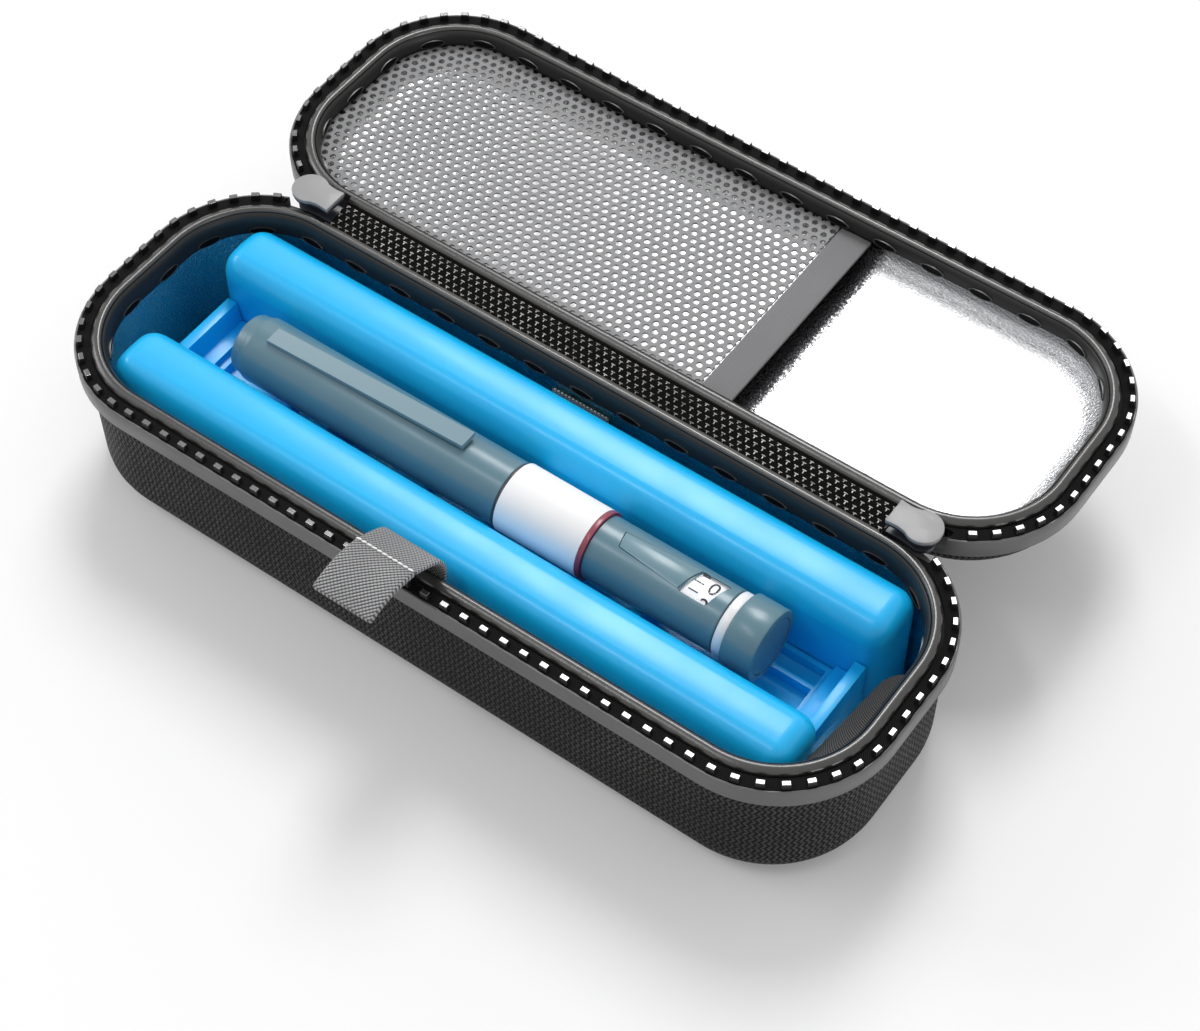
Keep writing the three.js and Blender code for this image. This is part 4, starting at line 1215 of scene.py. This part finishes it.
def bolster(name, low, high):
    piece = block(name, (-BOLSTER_LENGTH, low, BOLSTER_LOW), (BOLSTER_LENGTH, high, BOLSTER_HIGH))
    centre, reach = (low + high) / 2, (high - low) / 2
    with editing(piece):
        pick("EDGE", upright)
        bpy.ops.mesh.bevel(
            offset=BOLSTER_CORNER * MM, segments=8, affect="EDGES", clamp_overlap=False)
        pick("EDGE", lambda e: all(v.co.z > (BOLSTER_HIGH - 0.1) * MM for v in e.verts))
        bpy.ops.mesh.bevel(
            offset=BOLSTER_EDGE * MM, segments=8, affect="EDGES", clamp_overlap=False)
        pick("FACE", lambda f: f.normal.z < -0.9)
        bpy.ops.mesh.delete(type="FACE")
        for k in range(-4, 5):
            bpy.ops.mesh.select_all(action="SELECT")
            bpy.ops.mesh.bisect(plane_co=(0, (centre + k * 0.8) * MM, 0), plane_no=(0, 1, 0))
    for vert in piece.data.vertices:
        height = max(0, min((vert.co.z / MM - CROWN_FROM) / CROWN_RUN, 1))
        vert.co.z -= BOLSTER_CROWN * MM * ((vert.co.y / MM - centre) / reach) ** 2 * height
    thicken(piece, 1.6)
    smooth(piece, 60)
    return dress(piece, "tray")


def refined(node_name, name, width):
    """A tray node's own CAD shape with its edges softened."""
    piece = linked(name, frame["nodes"][node_name].data.copy())
    piece.data.name = name
    with editing(piece):
        bpy.ops.mesh.remove_doubles(threshold=0.000005)
        bpy.ops.mesh.dissolve_limited(angle_limit=math.radians(1.0))
    soften(piece, width)
    finish_piece(dress(piece, "tray"), "tray", [node_name])


def gel_pad(label):
    low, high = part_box("gel_" + label)
    piece = block("gel_pad_" + label, low / MM, high / MM)
    soften(piece, 2.2, angle=60, segments=4)
    finish_piece(dress(piece, "gel"), "tray", ["gel_" + label])


for label, low, high in (
        ("rear", BOLSTER_NEAR, BOLSTER_FAR), ("front", -BOLSTER_FAR, -BOLSTER_NEAR)):
    moulding = bolster("bolster_%s_moulding" % label, low, high)
    finish_piece(moulding, "tray", ["bolster_" + label])
refined("tray_bridge", "tray_bridge_moulding", 0.45)
refined("tray_base_plate", "tray_plate_moulding", 0.25)
for label in ("front", "rear", "bridge"):
    gel_pad(label)

# ---- lift strap, pull tab and tag


def webbing(name, line, thick, steps=8):
    """Flat strap: an edge pushed along a line of (y, z) places, then given its thickness."""
    half = WEBBING_WIDTH / 2
    piece = edge_piece(name, (-half, *line[0]), (half, *line[0]))
    steps_along = [(b[0] - a[0], b[1] - a[1]) for a, b in zip(line, line[1:])]
    with editing(piece):
        bpy.ops.mesh.select_mode(type="EDGE")
        bpy.ops.mesh.select_all(action="SELECT")
        for dy, dz in steps_along:
            push(0, dy, dz)
    run = [0.0]
    for dy, dz in steps_along:
        run.append(run[-1] + math.hypot(dy, dz))

    def along(co):
        gaps = [(co.y / MM - y) ** 2 + (co.z / MM - z) ** 2 for y, z in line]
        return co.x, run[gaps.index(min(gaps))] * MM

    place_map(piece, along)
    with editing(piece):
        pick("EDGE", lambda e: abs(e.verts[0].co.x - e.verts[1].co.x) > half * MM)
        bpy.ops.mesh.subdivide(number_cuts=steps)
    thicken(piece, thick, offset=0)
    return piece


def curve_through(points, steps):
    """More points along a smooth line through the given ones."""
    made = []
    padded = [points[0]] + points + [points[-1]]
    for i in range(1, len(padded) - 2):
        a, b, c, d = (Vector(p) for p in padded[i - 1:i + 3])
        for k in range(steps):
            t = k / steps
            bend = (2 * a - 5 * b + 4 * c - d) * t ** 2 + (3 * b - a - 3 * c + d) * t ** 3
            made.append(tuple(0.5 * (2 * b + (c - a) * t + bend)))
    return made + [points[-1]]


def lift_strap():
    low, side, turn = 5.95, 32.0, 4.0
    quarter = [i / 6 * QUARTER for i in range(7)]
    corner = [(side - turn * (1 - math.cos(a)), low + turn * (1 - math.sin(a))) for a in quarter]
    line = [(-side, 39.3), (-side, 25), (-side, 11)] + [(-y, z) for y, z in corner]
    line += [(-14, low), (0, low), (14, low)] + corner[::-1] + [(side, 25), (side, 34.6)]
    piece = webbing("strap_webbing", line, 0.6, steps=4)
    soften(piece, 0.15, angle=60)
    return dress(piece, "strap")


def pull_tab():
    """Loop of webbing over the rim, its end folded back to a doubled tail with a stitched seam."""
    arch_line = [(-31.75, 39.7), (-31.3, 44.0), (-31.9, 46.6), (-33.4, 49.0), (-36.6, 51.3),
                 (TAB_SEAM, 53.9)]
    tail_line = [(TAB_SEAM, 53.9), (-45.8, 54.95), (-50.0, 55.2), (-53.7, 54.75), (-57.6, 53.6)]
    arched = webbing("tab_arch", curve_through(arch_line, 4), 1.0)
    tail = webbing("tab_tail", curve_through(tail_line, 4), 2.0)
    soften(arched, 0.3, angle=60)
    soften(tail, 0.75, angle=60, segments=4)
    return dress(joined([arched, tail], "pull_tab_webbing"), "strap")


def tab_seam():
    """Row of pale stitches across the tab where the tail starts."""
    count, reach, stitches = 11, 8.1, []
    for k in range(count):
        x = (2 * (k + 0.5) / count - 1) * reach
        stitch = added(
            bpy.ops.mesh.primitive_uv_sphere_add, "seam_stitch", segments=10, ring_count=6,
            radius=0.5 * MM, location=(x * MM, (TAB_SEAM - 0.6) * MM, 55.25 * MM))
        stitch.scale = (1.56, 0.60, 0.56)
        stitch.rotation_euler = (0, 0, math.radians(9))
        stitches.append(settle(stitch))
    piece = joined(stitches, "tab_seam_stitches")
    smooth(piece, 60)
    return dress(piece, "sewing")


def label_tag():
    """Bare woven tag that hangs from the binding at the right end and leans in over its foot."""
    start, width, drop_height, top = -22.5, 29.1, 7.0, 42.0
    radius = CORNER - 7.7
    piece = added(
        bpy.ops.mesh.primitive_grid_add, "woven_tag", x_subdivisions=24, y_subdivisions=8, size=1)
    for vert in piece.data.vertices:
        share, down = vert.co.x + 0.5, vert.co.y + 0.5
        y = start + width * share
        past = max(abs(y) - REACH_Y, 0)
        wall = REACH_X + math.sqrt(radius ** 2 - past ** 2)
        foot = 99.95 + 2.8 * share
        vert.co = Vector((wall + (foot - wall) * down, y, top - drop_height * down ** 1.35)) * MM
    place_map(piece, lambda co: (co.y, co.z))
    thicken(piece, 0.45, offset=0)
    face_out(piece)
    soften(piece, 0.12, angle=60)
    return dress(piece, "tag")


strap = finish_piece(lift_strap(), "tray", ["lift_strap"])
tab = pull_tab()
seam = tab_seam()
for piece in (tab, seam):
    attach(piece, "tray")
    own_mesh(piece)
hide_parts("pull_tab")
tag = finish_piece(label_tag(), "base", ["label_tag"])

# ---- pen


def pen_cap():
    r = CAP_RADIUS
    piece = turned_bar("cap_moulding", [
        (-76.4, 6.6), (-77.3, 6.7), (-77.8, 7.1), (-77.75, 7.5), (-77.3, 7.75), (-75.9, 7.85),
        (-75.6, 7.95), (-74.9, 8.2), (-74.2, r - 0.12), (-73.4, r), (-40, r), (3.35, r),
        (3.6, r - 0.2), (3.6, 8.0), (-74, 7.6)])
    smooth(piece, 30)
    return piece


def cap_clip():
    """Springy clip: a flat plate that rises off the cap and turns a little toward its back."""
    thick = 1.15
    ends = {-1: (-69, -2.8, 1.9, 9.5), 1: (-10, -1.5, 3.5, 10.5)}
    clip = block("clip_plate", (-1, -1, -1), (1, 1, 1))
    for vert in clip.data.vertices:
        x, near, far, top = ends[round(vert.co.x / MM)]
        height = PEN_Z + top - (thick if vert.co.z < 0 else 0)
        vert.co = Vector((x, near if vert.co.y < 0 else far, height)) * MM
    root = block("clip_root", (-69, -2.6, PEN_Z + 7.0), (-65, 1.8, PEN_Z + 8.9))
    catch = block("clip_catch", (-12.2, -1.3, PEN_Z + 8.8), (-10.1, 3.3, PEN_Z + 9.9))
    rest = turned_bar("clip_rest", [(-80, CAP_RADIUS + 0.02), (0, CAP_RADIUS + 0.02)])
    cut(clip, [root, catch], "UNION")
    cut(clip, [rest])
    drop([root, catch, rest])
    soften(clip, 0.18, angle=50, segments=3)
    return clip


def pen_barrel():
    r = BARREL_RADIUS
    piece = turned_bar("barrel_moulding", [
        (-6, 7.0), (-6, 7.5), (3.9, 7.5), (3.9, 7.9), (29.3, 7.9), (29.3, r - 0.12), (29.45, r),
        (40, r), (65.4, r), (65.6, r - 0.2), (65.6, 7.42), (9, 7.42)], hollow=True)
    through = prism("window_cutter", [(53.7, -3.85), (61.1, -3.85), (63.3, 3.85), (55.9, 3.85)])
    recess = curved_patch(
        "recess_cutter", [(35.9, -2.25), (57.4, -3.85), (59.6, 3.85), (34.8, 2.25)],
        30, 62, r - 0.35, r + 3)
    cut(piece, [recess, through])
    drop([through, recess])
    soften(piece, 0.1, angle=50, segments=1)
    return piece


def name_plate():
    """Bare plate that fills the barrel's panel, with a fine line left round it; its lighter plastic
    is painted highlight.
    """
    piece = curved_patch(
        "plate_turned", [(36.1, -2.1), (53.2, -3.62), (55.3, 3.62), (35.1, 2.1)],
        30, 62, BARREL_RADIUS - 0.33, BARREL_RADIUS + 0.08)
    soften(piece, 0.12, angle=50)
    return piece


def window_lens():
    piece = curved_patch(
        "lens", [(54.0, -3.55), (60.9, -3.55), (63.0, 3.55), (56.1, 3.55)],
        50, 66, 7.5, BARREL_RADIUS - 0.3)
    smooth(piece, 40)
    return piece


def numbers():
    """Plain dose numbers and their marks, rolled onto the drum."""
    made = []
    centre_x, half_mark = 60.3, 0.16
    for value, angle in ((2, -33), (0, 8), (30, 49)):
        take()
        bpy.ops.object.text_add(location=(0, 0, 0))
        text = bpy.context.object.data
        text.body = str(value)
        text.size = 5.4 * MM
        text.align_x = text.align_y = "CENTER"
        text.extrude = 0.04 * MM
        bpy.ops.object.convert(target="MESH")
        digit = settle(named("dose_digit"))
        marks = [block("dose_mark", (-5.2, low - half_mark, -0.04), (-2.6, low + half_mark, 0.04))
                 for low in (-0.2, -2.8)]
        group = joined([digit] + marks, "dose_number")
        for vert in group.data.vertices:
            x, y, z = vert.co / MM
            around = y / NUMBER_RADIUS + math.radians(angle)
            out = NUMBER_RADIUS + z
            vert.co = Vector((
                x + centre_x, math.sin(around) * out, PEN_Z + math.cos(around) * out)) * MM
        made.append(group)
    return joined(made, "dose_numbers")


def pen_knob():
    r = KNOB_RADIUS
    piece = turned_bar("knob_moulding", [
        (68.6, 6.4), (68.6, r - 0.35), (68.72, r - 0.12), (69.0, r), (76.55, r),
        (76.95, r - 0.15), (77.1, r - 0.5), (77.1, 7.5), (74.2, 7.5), (74.2, 6.4)], hollow=True)
    smooth(piece, 45)
    return piece


def pen_button():
    piece = turned_bar("button_moulding", [
        (67.5, 4.7), (75.5, 4.7), (75.5, 7.4), (76.9, 7.4), (77.06, 7.3), (77.1, 7.1)])
    smooth(piece, 40)
    return piece


for piece, material, body, nodes, slot in (
        (pen_cap(), "pen", "cap", ["pen_cap"], "pen"),
        (cap_clip(), "clip", "cap", ["cap_clip"], "pen"),
        (pen_barrel(), "pen", "pen", ["pen_barrel"], "pen"),
        (name_plate(), "plate", "pen", [], "pen"),
        (window_lens(), "window", "pen", ["dose_window"], "window"),
        (sleeve("film_label", 4.35, 27.85, LABEL_RADIUS, LABEL_BORE, soft=0.1),
         "label", "pen", ["pen_label"], "label"),
        # Painted shade: the dark ring stands for the shaded slit at the label's left end.
        (sleeve("label_dark_edge", 3.8, 4.35, LABEL_RADIUS - 0.15, LABEL_BORE, soft=0.1),
         "label_slit_shade", "pen", [], "label"),
        (sleeve("red_ring", 27.9, 29.25, LABEL_RADIUS, LABEL_BORE, soft=0.12),
         "red", "pen", ["pen_red_band"], "red_band"),
        (sleeve("white_ring", 65.9, 68.3, 8.25, 7.45, soft=0.15),
         "collar", "dose_dial", ["dose_collar"], "collar"),
        (sleeve("drum_tube", 12.0, 68.3, 7.3, 6.4),
         "drum", "dose_dial", ["number_drum"], "drum"),
        (numbers(), "number", "dose_dial", [], "drum"),
        (pen_knob(), "pen", "dose_dial", ["dose_knob"], "pen"),
        (pen_button(), "pen", "button", ["injection_button"], "pen")):
    finish_piece(dress(piece, material), body, nodes)

for node_name, material in (
        ("cartridge_holder", "clear"), ("glass_cartridge", "clear"), ("crimp_seal", "crimp"),
        ("rubber_plunger", "rubber"), ("piston_rod", "inner"), ("clutch_sleeve", "inner")):
    dress(frame["nodes"][node_name], material)

drop(swing + [hinge_block])

# ---- floor, world and lamps


def seen_ray(tree):
    """1 for rays that show the floor and the room themselves, 0 for those that light things."""
    rays = {ray.name: Signal(ray) for ray in node(tree, "ShaderNodeLightPath").outputs}
    seen = rays["Is Camera Ray"].maths("MAXIMUM", rays["Is Glossy Ray"])
    return seen.maths("MAXIMUM", rays["Is Transmission Ray"])


def floor():
    piece = added(bpy.ops.mesh.primitive_plane_add, "floor", size=12)
    made, tree, shader = new_material("pale_floor")
    tree.nodes.remove(shader)
    out = grouped("grain", object_place(tree), Grain=0.002, Patch=0.5)
    diffuse = node(tree, "ShaderNodeBsdfDiffuse", {
        "Color": blend_colour(out["Patches"], rgba(grey(0.80)), rgba(grey(0.79)))})
    glow = node(tree, "ShaderNodeEmission", {"Strength": seen_ray(tree) * 0.12})
    join_shaders(tree, "ShaderNodeAddShader", diffuse, glow)
    piece.data.materials.append(made)


def world():
    """Room that lights the case a little more from the rear and looks plain white."""
    made = bpy.data.worlds.new("soft_room")
    bpy.context.scene.world = made
    made.use_nodes = True
    tree = made.node_tree
    heading = Signal(node(tree, "ShaderNodeTexCoord").outputs["Generated"])
    room_light = axes(heading)[1] * 0.24 + 0.56
    set_inputs(tree.nodes["Background"], {
        "Color": rgba(grey(1.0)),
        "Strength": seen_ray(tree) * (1.0 - room_light) + room_light})


floor()
world()
AIM = (0, 0.03, 0)
area_lamp("rear_bank", (-0.82, 1.58, 2.05), AIM, (1.0, 0.60), 20.0)
area_lamp("overhead", (-0.50, 1.00, 2.05), AIM, (0.65, 0.50), 13.0)
area_lamp("front_top", (-0.62, -0.85, 2.0), AIM, (0.9, 0.20), 5.5)
area_lamp("low_right", (1.30, -0.42, 0.10), (0, 0, 0.03), (0.5, 0.12), 3.0)
area_lamp("left_fill", (-2.2, -0.5, 1.2), AIM, (0.9, 0.9), 11.0)
place_camera()

view = bpy.context.scene.view_settings
view.view_transform = "Standard"
